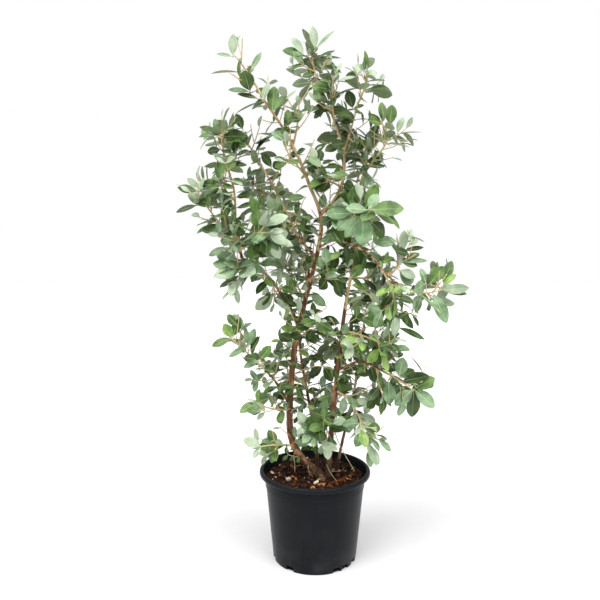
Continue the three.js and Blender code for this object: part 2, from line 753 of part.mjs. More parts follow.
// One mass: twigs and leaves that stay in its space and clear of everything made before.
function growMass(mass, limbBodies, taken) {
  const { row, seed, twigs } = mass;
  const stemLine = new THREE.Line3(twigs[0].curve.v0, twigs[0].curve.v2);
  const nearest = new THREE.Vector3();
  const inSpace = (point) => (
    stemLine.closestPointToPoint(point, true, nearest).distanceTo(point) <= row.reach
  );
  let fused = null;
  const fuse = (geometry) => {
    const piece = solidOf(geometry);
    const joined = fused ? fused.add(piece) : piece;
    const closes = closesWell(joined);
    if (closes) {
      fused = joined;
    }
    return closes;
  };
  const bodies = [];
  const blades = [];
  const ownTwigs = [];
  twigs.forEach((twig, twigIndex) => {
    const rings = twigRings(twig, twigIndex === 0 ? mass.start : 0);
    const twigBodies = bodiesOfTube(rings);
    const blocked = twigIndex > 0
      && !twigBodies.every((body) => isClear(body, [...limbBodies, ...taken], TWIG_CLEARANCE));
    const leaves = planLeaves(twig, seed * LEAF_SEED_STEP + twigIndex);
    if (blocked || !inSpace(twig.curve.v2) || !fuse(tubeGeometry(rings))) {
      return;
    }
    bodies.push(...twigBodies);
    ownTwigs.push(...twigBodies);
    for (const leaf of leaves) {
      const points = leafPoints(leaf);
      const body = convexBody(points, LEAF_FACES);
      const blade = convexBody(bladePoints(leaf, points), LEAF_FACES);
      if (inSpace(points[1]) && isClear(body, [...limbBodies, ...taken], LEAF_CLEARANCE)
        && isClear(blade, [...blades, ...ownTwigs], LEAF_CLEARANCE) && fuse(leafGeometry(points))) {
        bodies.push(body);
        blades.push(blade);
      }
    }
  });
  return { solid: mainBody(fused), bodies };
}

const plant = new THREE.Group();

function addMesh(name, solid, colour, roughness) {
  const geometry = geometryOf(solid);
  geometry.computeVertexNormals();
  const mesh = new THREE.Mesh(geometry, material(colour, roughness));
  mesh.name = name;
  plant.add(mesh);
}

growLimbs();
addMesh('pot', makePot(), COLOURS.pot, 0.45);
addMesh('potting_mix', makeMix(), COLOURS.mix, 0.95);
for (const [name, limb] of limbs) {
  addMesh(name, limb.solid, COLOURS.bark, 0.8);
}

const limbBodies = [...limbs.values()].flatMap((limb) => limb.bodies);
const masses = MASSES.map((row, index) => planMass(row, FIRST_SEED + index * SEED_STEP, limbBodies));
const taken = [];
masses.forEach((mass, index) => {
  const laterStems = masses.slice(index + 1).flatMap((later) => later.stemBodies);
  const grown = growMass(mass, limbBodies, [...taken, ...laterStems]);
  taken.push(...grown.bodies);
  const colour = COLOURS.leaf[index % COLOURS.leaf.length];
  addMesh(`foliage_${mass.row.name}`, grown.solid, colour, 0.7);
});

export default plant;
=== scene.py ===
import itertools
import math
import random

import bpy
import numpy as np
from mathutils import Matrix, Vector, noise


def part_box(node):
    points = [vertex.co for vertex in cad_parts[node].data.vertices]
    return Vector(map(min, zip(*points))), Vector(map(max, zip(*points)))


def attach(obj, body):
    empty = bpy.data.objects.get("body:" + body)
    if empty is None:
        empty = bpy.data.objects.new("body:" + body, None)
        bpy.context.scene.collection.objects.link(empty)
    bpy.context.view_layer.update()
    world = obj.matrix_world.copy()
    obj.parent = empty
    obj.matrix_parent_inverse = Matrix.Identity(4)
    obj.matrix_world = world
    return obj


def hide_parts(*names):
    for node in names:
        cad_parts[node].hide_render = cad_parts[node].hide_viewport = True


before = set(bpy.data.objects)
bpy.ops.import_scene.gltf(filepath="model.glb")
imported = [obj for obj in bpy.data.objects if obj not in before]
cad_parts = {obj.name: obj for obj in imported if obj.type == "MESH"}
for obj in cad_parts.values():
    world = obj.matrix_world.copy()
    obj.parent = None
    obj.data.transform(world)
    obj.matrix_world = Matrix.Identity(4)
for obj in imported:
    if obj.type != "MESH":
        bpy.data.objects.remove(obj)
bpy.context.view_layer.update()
MM = 0.001
UP = np.array((0.0, 0.0, 1.0))

# Camera: 1.38 m in front of the shrub, a little to its left and level with its middle. It looks
# down by 6 degrees, and its lens gives the square photograph's field of view.
CAMERA_PLACE = (-33.7 * MM, -1380 * MM, 732 * MM)
CAMERA_PITCH = math.radians(6)
CAMERA_SENSOR = 36
CAMERA_LENS = 37.74
CAMERA_NEAR = 50 * MM
CAMERA_FAR = 60

camera_data = bpy.data.cameras.new("camera")
camera_data.sensor_width = CAMERA_SENSOR
camera_data.lens = CAMERA_LENS
camera_data.clip_start = CAMERA_NEAR
camera_data.clip_end = CAMERA_FAR
camera = bpy.data.objects.new("camera", camera_data)
camera.location = CAMERA_PLACE
camera.rotation_euler = (math.pi / 2 - CAMERA_PITCH, 0, 0)
bpy.context.scene.collection.objects.link(camera)
bpy.context.scene.camera = camera
bpy.context.scene.view_settings.view_transform = "Standard"

# Pot: a 250 mm nursery pot with a rolled lip, a collar over a fine step, and drain notches round
# its foot. It is injection moulded in one piece from black recycled polypropylene.
pot_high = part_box("pot")[1]
POT_HEIGHT = pot_high.z
LIP_RADIUS = pot_high.x
LIP_HEIGHT = 11.5 * MM
LIP_LOWER_ROUND = 3.6 * MM
LIP_UPPER_ROUND = 4.6 * MM
LIP_WAVE = 0.35 * MM
LIP_WAVES_ROUND = 9
LIP_UNDERCUT = 1 * MM
MOUTH_RADIUS = LIP_RADIUS - 9 * MM
MOUTH_ROUND = 3 * MM
COLLAR_RADIUS = LIP_RADIUS - 13 * MM
COLLAR_FOOT = 167 * MM
COLLAR_STEP = 1.4 * MM
COLLAR_STEP_RISE = 0.8 * MM
WALL_ROWS = (0.2, 0.4, 0.6, 0.8, 0.985)
FOOT_RADIUS = 94.5 * MM
FOOT_ROUND = 1.5 * MM
WALL = 2.6 * MM
FLOOR = 3 * MM
MIX_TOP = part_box("potting_mix")[1].z
NOTCH_ANGLES = (-76, -36, 29, 43, 62, 80, 116, 152, 188, 224)
NOTCH_WIDTH = 18 * MM
NOTCH_HEIGHT = 10.5 * MM
NOTCH_INNER = 90 * MM
# Degrees between the pot's columns, and how near to a notch's side one is left out.
POT_COLUMN = 2.0
POT_COLUMN_APART = 0.6


def to_linear(hex_colour):
    channels = []
    for start in (1, 3, 5):
        value = int(hex_colour[start : start + 2], 16) / 255
        channels.append(value / 12.92 if value <= 0.04045 else ((value + 0.055) / 1.055) ** 2.4)
    return (*channels, 1.0)


def add_node(tree, kind, values=None, links=None, **settings):
    node = tree.nodes.new(kind)
    for name, value in settings.items():
        setattr(node, name, value)
    for socket, value in (values or {}).items():
        node.inputs[socket].default_value = value
    for socket, source in (links or {}).items():
        tree.links.new(source, node.inputs[socket])
    return node


def add_noise(tree, place, size, detail, **settings):
    """Noise whose patches are about a size across, in metres."""
    values = {"Scale": 1 / size, "Detail": detail, **settings}
    return add_node(tree, "ShaderNodeTexNoise", values, {"Vector": place}).outputs[0]


def add_range(tree, value, start, stop, low=0.0, high=1.0):
    """A value brought from the range start to stop into the range low to high."""
    values = {"From Min": start, "From Max": stop, "To Min": low, "To Max": high}
    return add_node(tree, "ShaderNodeMapRange", values, {"Value": value}).outputs[0]


def add_math(tree, operation, *inputs):
    """One operation on numbers and sockets."""
    values = {i: each for i, each in enumerate(inputs) if isinstance(each, (int, float))}
    links = {i: each for i, each in enumerate(inputs) if i not in values}
    return add_node(tree, "ShaderNodeMath", values, links, operation=operation).outputs[0]


def add_mix(tree, share, first, second):
    """A colour between two, each of them a hex colour or a socket."""
    colours = {6: first, 7: second}
    values = {socket: to_linear(colour) for socket, colour in colours.items() if isinstance(colour, str)}
    links = {socket: colour for socket, colour in colours.items() if socket not in values}
    return add_node(tree, "ShaderNodeMix", values, {0: share, **links}, data_type="RGBA").outputs[2]


def add_bump(tree, shader, relief, strength, depth):
    bump = add_node(tree, "ShaderNodeBump", {"Strength": strength, "Distance": depth}, {"Height": relief})
    tree.links.new(bump.outputs[0], shader.inputs["Normal"])


def start_material(name, **shader_values):
    """A new material with its tree, its shader and the coordinates of the object that wears it."""
    material = bpy.data.materials.new(name)
    material.use_nodes = True
    tree = material.node_tree
    shader = tree.nodes["Principled BSDF"]
    for socket, value in shader_values.items():
        shader.inputs[socket.replace("_", " ")].default_value = value
    place = add_node(tree, "ShaderNodeTexCoord").outputs["Object"]
    return material, tree, shader, place


def add_piece(name, vertices, faces, materials, slots=None, crease=None):
    mesh = bpy.data.meshes.new(name)
    mesh.from_pydata([tuple(v) for v in vertices], [], faces, shade_flat=False)
    for material in materials:
        mesh.materials.append(material)
    if slots is not None:
        mesh.polygons.foreach_set("material_index", slots)
    if crease is not None:
        mesh.set_sharp_from_angle(angle=math.radians(crease))
    mesh.update()
    piece = bpy.data.objects.new(name, mesh)
    bpy.context.scene.collection.objects.link(piece)
    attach(piece, "root")
    return piece


def quad(at, row, next_row, column):
    """The face between two rows of vertices and two neighbouring columns."""
    return (at(row, column), at(next_row, column), at(next_row, column + 1), at(row, column + 1))


def arc(centre_r, centre_z, radius, start, stop, steps=5):
    points = []
    for i in range(steps + 1):
        angle = math.radians(start + (stop - start) * i / steps)
        points.append((centre_r + radius * math.cos(angle), centre_z + radius * math.sin(angle)))
    return points


def wall_radius(z):
    rise = (z - FOOT_ROUND) / (COLLAR_FOOT - FOOT_ROUND)
    return FOOT_RADIUS + (COLLAR_RADIUS - COLLAR_STEP - FOOT_RADIUS) * rise


def pot_outline():
    """The outline by radius and height, the rows where notches start and stop, and the lip's wavy rows."""
    lip_foot = POT_HEIGHT - LIP_HEIGHT
    outline = [(0, 0), (NOTCH_INNER, 0)]
    notch_rows = [1]
    outline += arc(FOOT_RADIUS - FOOT_ROUND, FOOT_ROUND, FOOT_ROUND, -90, 0, 3)
    outline.append((wall_radius(NOTCH_HEIGHT), NOTCH_HEIGHT))
    notch_rows.append(len(outline) - 1)
    for share in WALL_ROWS:
        outline.append((wall_radius(share * COLLAR_FOOT), share * COLLAR_FOOT))
    outline.append((COLLAR_RADIUS - COLLAR_STEP, COLLAR_FOOT))
    outline.append((COLLAR_RADIUS, COLLAR_FOOT + COLLAR_STEP_RISE))
    outline.append((COLLAR_RADIUS, lip_foot - LIP_UNDERCUT))
    outline.append((COLLAR_RADIUS + LIP_UNDERCUT, lip_foot))
    under_lip = len(outline)
    outline += arc(LIP_RADIUS - LIP_LOWER_ROUND, lip_foot + LIP_LOWER_ROUND, LIP_LOWER_ROUND, -90, 0)
    lip_side = len(outline)
    outline += arc(LIP_RADIUS - LIP_UPPER_ROUND, POT_HEIGHT - LIP_UPPER_ROUND, LIP_UPPER_ROUND, 0, 90, 6)
    outline += arc(MOUTH_RADIUS + MOUTH_ROUND, POT_HEIGHT - MOUTH_ROUND, MOUTH_ROUND, 90, 180)
    outline.append((COLLAR_RADIUS - WALL, MIX_TOP))
    outline.append((wall_radius(NOTCH_HEIGHT) - WALL, NOTCH_HEIGHT))
    notch_rows.append(len(outline) - 1)
    outline += [(FOOT_RADIUS - WALL, FLOOR), (NOTCH_INNER, FLOOR)]
    notch_rows.append(len(outline) - 1)
    outline.append((0, FLOOR))
    return outline, notch_rows, range(under_lip, lip_side)


def degrees_apart(angle, other):
    return abs((angle - other + 180) % 360 - 180)


def pot_columns():
    """Columns in degrees round the pot, with one at each side of a notch, and whether each is cut."""
    half = math.degrees(math.asin(NOTCH_WIDTH / 2 / FOOT_RADIUS))
    edges = [(centre + side * half) % 360 for centre in NOTCH_ANGLES for side in (-1, 1)]
    plain = [POT_COLUMN * i for i in range(int(360 / POT_COLUMN))]
    kept = [a for a in plain if all(degrees_apart(a, edge) > POT_COLUMN_APART for edge in edges)]
    columns = sorted(kept + edges)
    cut = []
    for column, following in zip(columns, columns[1:] + columns[:1]):
        middle = column + ((following - column) % 360) / 2
        cut.append(any(degrees_apart(middle, centre) < half for centre in NOTCH_ANGLES))
    return columns, cut


def make_pot():
    outline, (open_from, open_to, shut_from, shut_to), wavy_rows = pot_outline()
    columns, cut = pot_columns()
    vertices = []
    for row, (radius, z) in enumerate(outline[1:-1], start=1):
        for column in columns:
            x, y = math.sin(math.radians(column)), -math.cos(math.radians(column))
            wave = 0.0
            if row in wavy_rows:
                wave = LIP_WAVE * noise.noise(Vector((x, -y, 0)) * LIP_WAVES_ROUND)
            vertices.append((radius * x, radius * y, z + wave))
    vertices += [(0, 0, 0), (0, 0, FLOOR)]
    under, inside = len(vertices) - 2, len(vertices) - 1

    def at(row, column):
        return (row - 1) * len(columns) + column % len(columns)

    last_row = len(outline) - 2
    notched = (*range(open_from, open_to), *range(shut_from, shut_to))
    section = [*range(open_from, open_to + 1), *range(shut_from, shut_to + 1)]
    faces = []
    for column in range(len(columns)):
        faces.append((under, at(1, column), at(1, column + 1)))
        faces.append((inside, at(last_row, column + 1), at(last_row, column)))
        for row in range(1, last_row):
            if not cut[column] or row not in notched:
                faces.append(quad(at, row, row + 1, column))
        if cut[column]:
            faces.append(quad(at, open_to, shut_from, column))
            faces.append(quad(at, open_from, shut_to, column)[::-1])
        if cut[column] and not cut[column - 1]:
            faces.append([at(row, column) for row in reversed(section)])
        if not cut[column] and cut[column - 1]:
            faces.append([at(row, column) for row in section])
    return vertices, faces


# Moulded black polypropylene: satin, with a soft broad gloss, faint upright flow marks about
# 12 mm apart, a film of dust that thickens towards the foot, and fine rubbed scratches.
FLOW_STRETCH = (1, 1, 0.12)
DUST_TOP = 60 * MM
DUST_FOOT = 4 * MM
polypropylene, tree, shader, place = start_material(
    "moulded_black_polypropylene", IOR=1.49, Roughness=0.42, Specular_IOR_Level=0.1)
streaked = add_node(tree, "ShaderNodeMapping", {"Scale": FLOW_STRETCH}, {"Vector": place}).outputs[0]
flow = add_noise(tree, streaked, 12 * MM, 4, Roughness=0.55)
cloud = add_noise(tree, place, 60 * MM, 5, Roughness=0.6)
grain = add_noise(tree, place, 1.2 * MM, 2)
height = add_node(tree, "ShaderNodeSeparateXYZ", links={"Vector": place}).outputs["Z"]
low = add_range(tree, height, DUST_TOP, DUST_FOOT, 0.1, 0.8)
dust = add_math(tree, "MULTIPLY", low, add_range(tree, cloud, 0.42, 0.75))
bare = add_mix(tree, flow, "#0f1113", "#191b1f")
tree.links.new(add_mix(tree, dust, bare, "#3a3b3e"), shader.inputs["Base Color"])
tree.links.new(add_range(tree, cloud, 0, 1, 0.22, 0.42), shader.inputs["Roughness"])
add_bump(tree, shader, grain, 0.12, 0.15 * MM)

pot = add_piece("pot_shell", *make_pot(), [polypropylene], crease=40)
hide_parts("pot")

# Potting mix: a bed of composted bark and coir, filled to 14 mm under the lip. Its top is a
# crumbly heap that rises a little round the stems, and it shows through the drain notches.
BED_TOP_RADIUS = COLLAR_RADIUS - WALL - 0.4 * MM
BED_UNDERSIDE = FLOOR + 0.3 * MM
# The bed's side under its top, by radius and height: it draws in at the foot, behind the notches.
BED_FOOT = ((92.4 * MM, 16 * MM), (86 * MM, 9 * MM), (80 * MM, BED_UNDERSIDE))
BED_RINGS = 60
BED_COLUMNS = 220
BED_SUNK = 2.6 * MM
BED_LUMP = 9 * MM
LUMP_PLANE = 0.3
LUMP_OCTAVES = 4
BED_RELIEF = 3.2 * MM
BED_SWELL = 45 * MM
SWELL_PLANE = 1.7
BED_SWELL_RISE = 2 * MM
# The heap at the crotch, where the stems come together.
CROTCH = (26 * MM, -18 * MM)
HEAP_RISE = 3 * MM
HEAP_RADIUS = 42 * MM


def bed_height(x, y):
    lumps = noise.turbulence(Vector((x, y, LUMP_PLANE)) / BED_LUMP, LUMP_OCTAVES, False)
    swell = noise.noise(Vector((x, y, SWELL_PLANE)) / BED_SWELL)
    heap = math.exp(-((x - CROTCH[0]) ** 2 + (y - CROTCH[1]) ** 2) / HEAP_RADIUS**2)
    return MIX_TOP - BED_SUNK + BED_RELIEF * lumps + BED_SWELL_RISE * swell + HEAP_RISE * heap


def make_bed():
    top = [(BED_TOP_RADIUS * ring / BED_RINGS, None) for ring in range(1, BED_RINGS + 1)]
    vertices = [(0, 0, bed_height(0, 0))]
    for radius, height in (*top, *BED_FOOT):
        for column in range(BED_COLUMNS):
            angle = 2 * math.pi * column / BED_COLUMNS
            x, y = radius * math.cos(angle), radius * math.sin(angle)
            vertices.append((x, y, bed_height(x, y) if height is None else height))
    vertices.append((0, 0, BED_UNDERSIDE))
    last = len(vertices) - 1
    rings = BED_RINGS + len(BED_FOOT)

    def at(ring, column):
        return 1 + (ring - 1) * BED_COLUMNS + column % BED_COLUMNS

    faces = []
    for column in range(BED_COLUMNS):
        faces.append((0, at(1, column), at(1, column + 1)))
        faces.append((last, at(rings, column + 1), at(rings, column)))
        for ring in range(1, rings):
            faces.append(quad(at, ring, ring + 1, column))
    return vertices, faces


# Damp composted bark: dark brown to black crumbs 2 to 5 mm across with rusty flecks, dull all over.
# Its colours are also darker as painted shade, for the shade that the crown casts on the mix.
compost, tree, shader, place = start_material(
    "damp_composted_bark_painted_shade", IOR=1.45, Roughness=0.9, Specular_IOR_Level=0.2)
crumb = add_node(tree, "ShaderNodeTexVoronoi", {"Scale": 1 / (3.5 * MM)}, {"Vector": place})
fleck = add_noise(tree, place, 4 * MM, 5)
dark = add_mix(tree, crumb.outputs["Distance"], "#0e0704", "#3a200f")
rusty = add_range(tree, fleck, 0.56, 0.72)
tree.links.new(add_mix(tree, rusty, dark, "#7a4524"), shader.inputs["Base Color"])
add_bump(tree, shader, fleck, 0.8, 1 * MM)

bed = add_piece("mix_bed", *make_bed(), [compost])
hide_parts("potting_mix")

# Bark chips, crumbs and perlite: loose bits of the mix that lie on its top. The chips are split
# from pine bark, from near black to orange brown, and the perlite is white puffed glass. The
# near-black chips, half of all, are partly painted shade, dark for the shade between the bits.
CHIP_SEED = 41
CHIP_COUNT = 2300
CHIP_LENGTHS = (2.4 * MM, 12 * MM)
PERLITE_COUNT = 26
PERLITE_RADII = (0.7 * MM, 1.8 * MM)
PERLITE_UNEVEN = (0.75, 1.15)
PERLITE_LIFT = 0.8
LOOSE_RADIUS = BED_TOP_RADIUS - 5 * MM
# Bits that stand out: place, length, width and thickness in millimetres, turn in degrees, finish.
MARKED_CHIPS = (
    ((-60, -29), 12, 8, 6, 30, "pale"),
    ((-43, -29), 11, 6, 4, 100, "orange"),
    ((-36, 50), 12, 7, 5, 20, "orange"),
    ((-22, 31), 15, 9, 6, -30, "brown"),
    ((-34, 8), 13, 9, 6, 60, "brown"),
    ((14, -62), 17, 8, 5, -15, "orange"),
    ((2, -56), 13, 7, 5, 40, "pale"),
    ((30, -64), 12, 6, 4, 10, "rust"),
    ((43, -51), 16, 6, 4, 20, "rust"),
    ((57, -44), 20, 7, 4, 30, "rust"),
    ((66, -29), 15, 6, 4, 50, "rust"),
    ((81, -11), 17, 6, 4, 70, "rust"),
    ((58, 19), 18, 5, 4, -25, "rust"),
    ((76, -32), 10, 5, 3, -40, "orange"),
    ((-80, 19), 11, 6, 4, 15, "brown"),
)


def loose_place(rng):
    """A place on the mix for a loose bit, as likely here as there."""
    radius = LOOSE_RADIUS * math.sqrt(rng.random())
    angle = rng.uniform(0, 2 * math.pi)
    return radius * math.cos(angle), radius * math.sin(angle)


def chip_corners(rng, centre, length, width, thickness, turn, tilt):
    """The eight corners of a split chip, each a little out of place."""
    along = np.array((math.cos(turn) * math.cos(tilt), math.sin(turn) * math.cos(tilt), math.sin(tilt)))
    across = np.array((-math.sin(turn), math.cos(turn), rng.uniform(-CHIP_ROCK, CHIP_ROCK)))
    across /= np.linalg.norm(across)
    above = np.cross(along, across)
    corners = []
    for corner in range(8):
        signs = ((corner & 1) * 2 - 1, (corner >> 1 & 1) * 2 - 1, (corner >> 2) * 2 - 1)
        spot = np.array(centre)
        for sign, axis, size in zip(signs, (along, across, above), (length, width, thickness)):
            spot = spot + axis * sign * size * rng.uniform(*CHIP_CORNER)
        corners.append(spot)
    return corners


CHIP_FACES = ((0, 2, 3, 1), (4, 5, 7, 6), (0, 1, 5, 4), (2, 6, 7, 3), (0, 4, 6, 2), (1, 3, 7, 5))
CHIP_FINISHES = ("black", "brown", "rust", "orange", "pale")
# Half the chips are near black: partly wet bark, partly painted shade.
CHIP_SHARES = (0.5, 0.33, 0.13, 0.03, 0.01)
# How far a corner lies from the chip's middle, as a share of its length, width or thickness.
CHIP_CORNER = (0.3, 0.55)
CHIP_ROCK = 0.3
CHIP_TILT = 0.3
MARKED_CHIP_TILT = 0.12
# Most chips are short: the draw is raised to this power. Width and thickness are shares of length.
CHIP_BIAS = 2.2
CHIP_WIDTHS = (0.3, 0.75)
CHIP_THICKNESSES = (0.18, 0.4)
# How high a chip's middle lies over the mix, as a share of its thickness.
CHIP_LIFT = 0.3
MARKED_CHIP_LIFT = 0.5


def make_chips():
    rng = random.Random(CHIP_SEED)
    vertices, faces, slots = [], [], []

    def lay(centre, length, width, thickness, turn, tilt, finish):
        start = len(vertices)
        vertices.extend(chip_corners(rng, centre, length, width, thickness, turn, tilt))
        faces.extend([tuple(start + k for k in face) for face in CHIP_FACES])
        slots.extend([CHIP_FINISHES.index(finish)] * len(CHIP_FACES))

    for _ in range(CHIP_COUNT):
        x, y = loose_place(rng)
        length = CHIP_LENGTHS[0] + (CHIP_LENGTHS[1] - CHIP_LENGTHS[0]) * rng.random() ** CHIP_BIAS
        width = length * rng.uniform(*CHIP_WIDTHS)
        thickness = length * rng.uniform(*CHIP_THICKNESSES)
        finish = rng.choices(CHIP_FINISHES, CHIP_SHARES)[0]
        lay((x, y, bed_height(x, y) + CHIP_LIFT * thickness), length, width, thickness,
            rng.uniform(0, math.pi), rng.gauss(0, CHIP_TILT), finish)
    for (x, y), length, width, thickness, turn, finish in MARKED_CHIPS:
        height = bed_height(x * MM, y * MM) + MARKED_CHIP_LIFT * thickness * MM
        size = (length * MM, width * MM, thickness * MM)
        lay((x * MM, y * MM, height), *size, math.radians(turn), MARKED_CHIP_TILT, finish)
    return vertices, faces, slots


def mottled(name, dark_hex, light_hex, size, detail, relief=None, stretch=(1, 1, 1), **shader_values):
    """A material in patches of two colours, with a relief of its own strength and depth."""
    material, tree, shader, place = start_material(name, **shader_values)
    place = add_node(tree, "ShaderNodeMapping", {"Scale": stretch}, {"Vector": place}).outputs[0]
    patches = add_noise(tree, place, size, detail)
    tree.links.new(add_mix(tree, patches, dark_hex, light_hex), shader.inputs["Base Color"])
    if relief is not None:
        add_bump(tree, shader, patches, *relief)
    return material


# Split pine bark: matt, streaked along its fibres, which are drawn 1.5 mm apart so that they show.
FIBRE = 1.5 * MM
FIBRE_STRETCH = (1, 0.3, 1)
chip_materials = [
    mottled(name, dark_hex, light_hex, FIBRE, 4, (0.5, 0.4 * MM), FIBRE_STRETCH, IOR=1.5,
            Roughness=0.82, Specular_IOR_Level=0.2)
    for name, dark_hex, light_hex in (
        # Partly painted shade: the near-black chips also stand for shade between the bits.
        ("wet_bark_chip_painted_shade", "#0c0603", "#1c0f07"),
        ("brown_bark_chip", "#251407", "#482912"),
        ("rusty_bark_chip", "#522810", "#864822"),
        ("split_orange_chip", "#8f5a30", "#cf9660"),
        ("dry_sapwood_chip", "#b9a688", "#efe4d0"),
    )
]
chip_vertices, chip_faces, chip_slots = make_chips()
chips = add_piece("bark_chips", chip_vertices, chip_faces, chip_materials, chip_slots, crease=30)


def make_perlite():
    """Bits with the twenty faces of an icosahedron, each corner a little out of place."""
    rng = random.Random(CHIP_SEED + 1)
    vertices, faces = [], []
    golden = (1 + 5 ** 0.5) / 2
    shape = [(0, a, b * golden) for a in (-1, 1) for b in (-1, 1)]
    corners = [c[k:] + c[:k] for k in (0, 2, 1) for c in shape]
    # The corners are 1.9 from the middle when the edges are 2 long.
    corner_away = 1.9

    def meet(trio):
        gaps = [math.dist(corners[a], corners[b]) for a, b in itertools.combinations(trio, 2)]
        return all(math.isclose(gap, 2) for gap in gaps)

    near = [trio for trio in itertools.combinations(range(len(corners)), 3) if meet(trio)]
    for _ in range(PERLITE_COUNT):
        x, y = loose_place(rng)
        size = rng.uniform(*PERLITE_RADII)
        middle = np.array((x, y, bed_height(x, y) + PERLITE_LIFT * size))
        start = len(vertices)
        for corner in corners:
            vertices.append(middle + np.array(corner) * size / corner_away * rng.uniform(*PERLITE_UNEVEN))
        for i, j, k in near:
            a, b, c = (np.array(corners[n]) for n in (i, j, k))
            if np.dot(np.cross(b - a, c - a), a) < 0:
                j, k = k, j
            faces.append((start + i, start + j, start + k))
    return vertices, faces


# Perlite: white puffed volcanic glass, chalky, with pores about 0.5 mm across.
puffed_glass = mottled("puffed_perlite", "#b8b0a4", "#f4f1ea", 0.5 * MM, 2, (0.6, 0.3 * MM),
                       IOR=1.5, Roughness=0.8)
perlite = add_piece("perlite_bits", *make_perlite(), [puffed_glass])

# Stems and boughs: four stems that leave the mix together, and the boughs that fork from them.
# They are young feijoa wood, whose thin red-brown bark flakes off in small upright plates.
# Each stem: name, radius at foot and tip, and its path from the mix upwards, in millimetres.
STEMS = (
    ("stem_left", 8.4, 2.1, (
        (24, -20, 176), (-3, -26, 211), (-30, -28, 238), (-53, -24, 282), (-55, -12, 378), (-43, 0, 495),
        (-27, 5, 566), (13, 16, 758), (-14, 8, 840), (-55, -5, 932), (-114, -18, 1019))),
    ("stem_right", 6.8, 2.4, (
        (29, -12, 176), (33, -18, 257), (43, -30, 383), (53, -34, 481), (66, -30, 588), (89, -20, 695),
        (101, -8, 752))),
    ("stem_back", 4.2, 2.2, ((6, 10, 176), (3, 18, 255), (-14, 52, 350), (-34, 84, 470), (-30, 104, 590))),
    ("stem_side", 3.6, 2.0, ((46, 8, 176), (60, 14, 247), (84, 38, 340), (106, 66, 440), (118, 86, 540))),
)
# Each bough: name, the limb it leaves and how far along, radius at foot and tip, and its bends.
BOUGHS = (
    ("bough_leader_right", "stem_left", 0.695, 4.2, 2.7, ((39, 20, 802), (61, 26, 850), (64, 28, 912))),
    ("bough_top_centre", "bough_leader_right", 1, 2.5, 1.8, ((45, 34, 968), (24, 39, 1026))),
    ("bough_top_right", "bough_leader_right", 1, 2.3, 1.6, ((80, 26, 968), (91, 22, 1012))),
    ("bough_right_upper", "bough_leader_right", 0.33, 2.6, 1.8, (
        (88, 12, 828), (112, 0, 872), (130, -5, 898))),
    ("bough_left_low", "stem_left", 0.42, 4.2, 2.8, ((-64, -15, 586), (-112, -44, 652), (-154, -65, 678))),
    ("bough_left_high", "bough_left_low", 1, 2.8, 1.8, (
        (-166, -70, 736), (-169, -72, 820), (-186, -72, 880))),
    ("bough_middle_left", "stem_left", 0.59, 3.2, 1.9, (
        (-34, 20, 722), (-62, 26, 776), (-98, 30, 846), (-118, 30, 880))),
    ("bough_arch", "stem_left", 0.615, 2.6, 2.0, ((42, -26, 718), (84, -52, 706), (120, -64, 682))),
    ("bough_right_outer", "bough_arch", 1, 2.0, 1.6, ((152, -82, 642), (200, -95, 614))),
    ("bough_right_low", "stem_right", 0.45, 2.8, 2.0, ((98, -64, 462), (148, -88, 442))),
    ("bough_left_foot", "stem_left", 0.225, 2.8, 2.0, ((-86, -26, 408), (-112, -34, 440))),
    ("bough_back_middle", "stem_left", 0.52, 3.0, 1.8, ((-18, 60, 690), (-52, 118, 780))),
)
ROOT_FLARE = 4 * MM
ROOT_FLARE_HEIGHT = 16 * MM
FORK_COLLAR = 0.35
FORK_COLLAR_LENGTH = 9 * MM
LIMB_STEP = 1.8 * MM
PLATE_WIDTH = 3.4 * MM
PLATE_HEIGHT = 10 * MM
PLATE_DEPTH = 0.42 * MM
# How sharp the plates' edges are, and the level of the noise at which they lie.
PLATE_EDGE = 14
PLATE_LEVEL = 0.05
GNARL = 0.5 * MM
GNARL_SIZE = 14 * MM
# The radius from which wood has its full relief.
ROUGH_RADIUS = 7 * MM
NODE_SPACING = 34 * MM
LIMB_KNUCKLE = 0.07
LIMB_KNUCKLE_LENGTH = 3 * MM
CURVE_STEPS = 200
HEADING_STEP = 1e-4
# A direction that no limb or twig runs in, from which the first ring of a tube takes its turn.
SIDEWAYS = (0.31, 0.95, 0.05)
# Sides round a limb, by the radius at its foot.
LIMB_SIDES = ((5 * MM, 28), (3.5 * MM, 18), (0, 12))
# Where weathered bark ends and smooth bark begins, with the sway of each, and the width of a face
# under which wood is thin enough for smooth bark.
WEATHERED_TOP = (232 * MM, 40 * MM)
SMOOTH_FOOT = (700 * MM, 160 * MM)
BARK_PATCH = 9 * MM
THIN_FACE = 0.85 * MM


def unit(vector):
    return vector / np.linalg.norm(vector)


class Route:
    """A curve that is walked by its length."""

    def __init__(self, point_at):
        self.point_at = point_at
        self.times = np.linspace(0, 1, CURVE_STEPS + 1)
        points = np.array([point_at(time) for time in self.times])
        strides = np.linalg.norm(np.diff(points, axis=0), axis=1)
        self.walked = np.concatenate(([0], np.cumsum(strides)))
        self.length = self.walked[-1]

    def time(self, along):
        return np.interp(along * self.length, self.walked, self.times)

    def at(self, along):
        return self.point_at(self.time(along))

    def heading(self, along):
        time = self.time(along)
        before, after = max(time - HEADING_STEP, 0), min(time + HEADING_STEP, 1)
        return unit(self.point_at(after) - self.point_at(before))


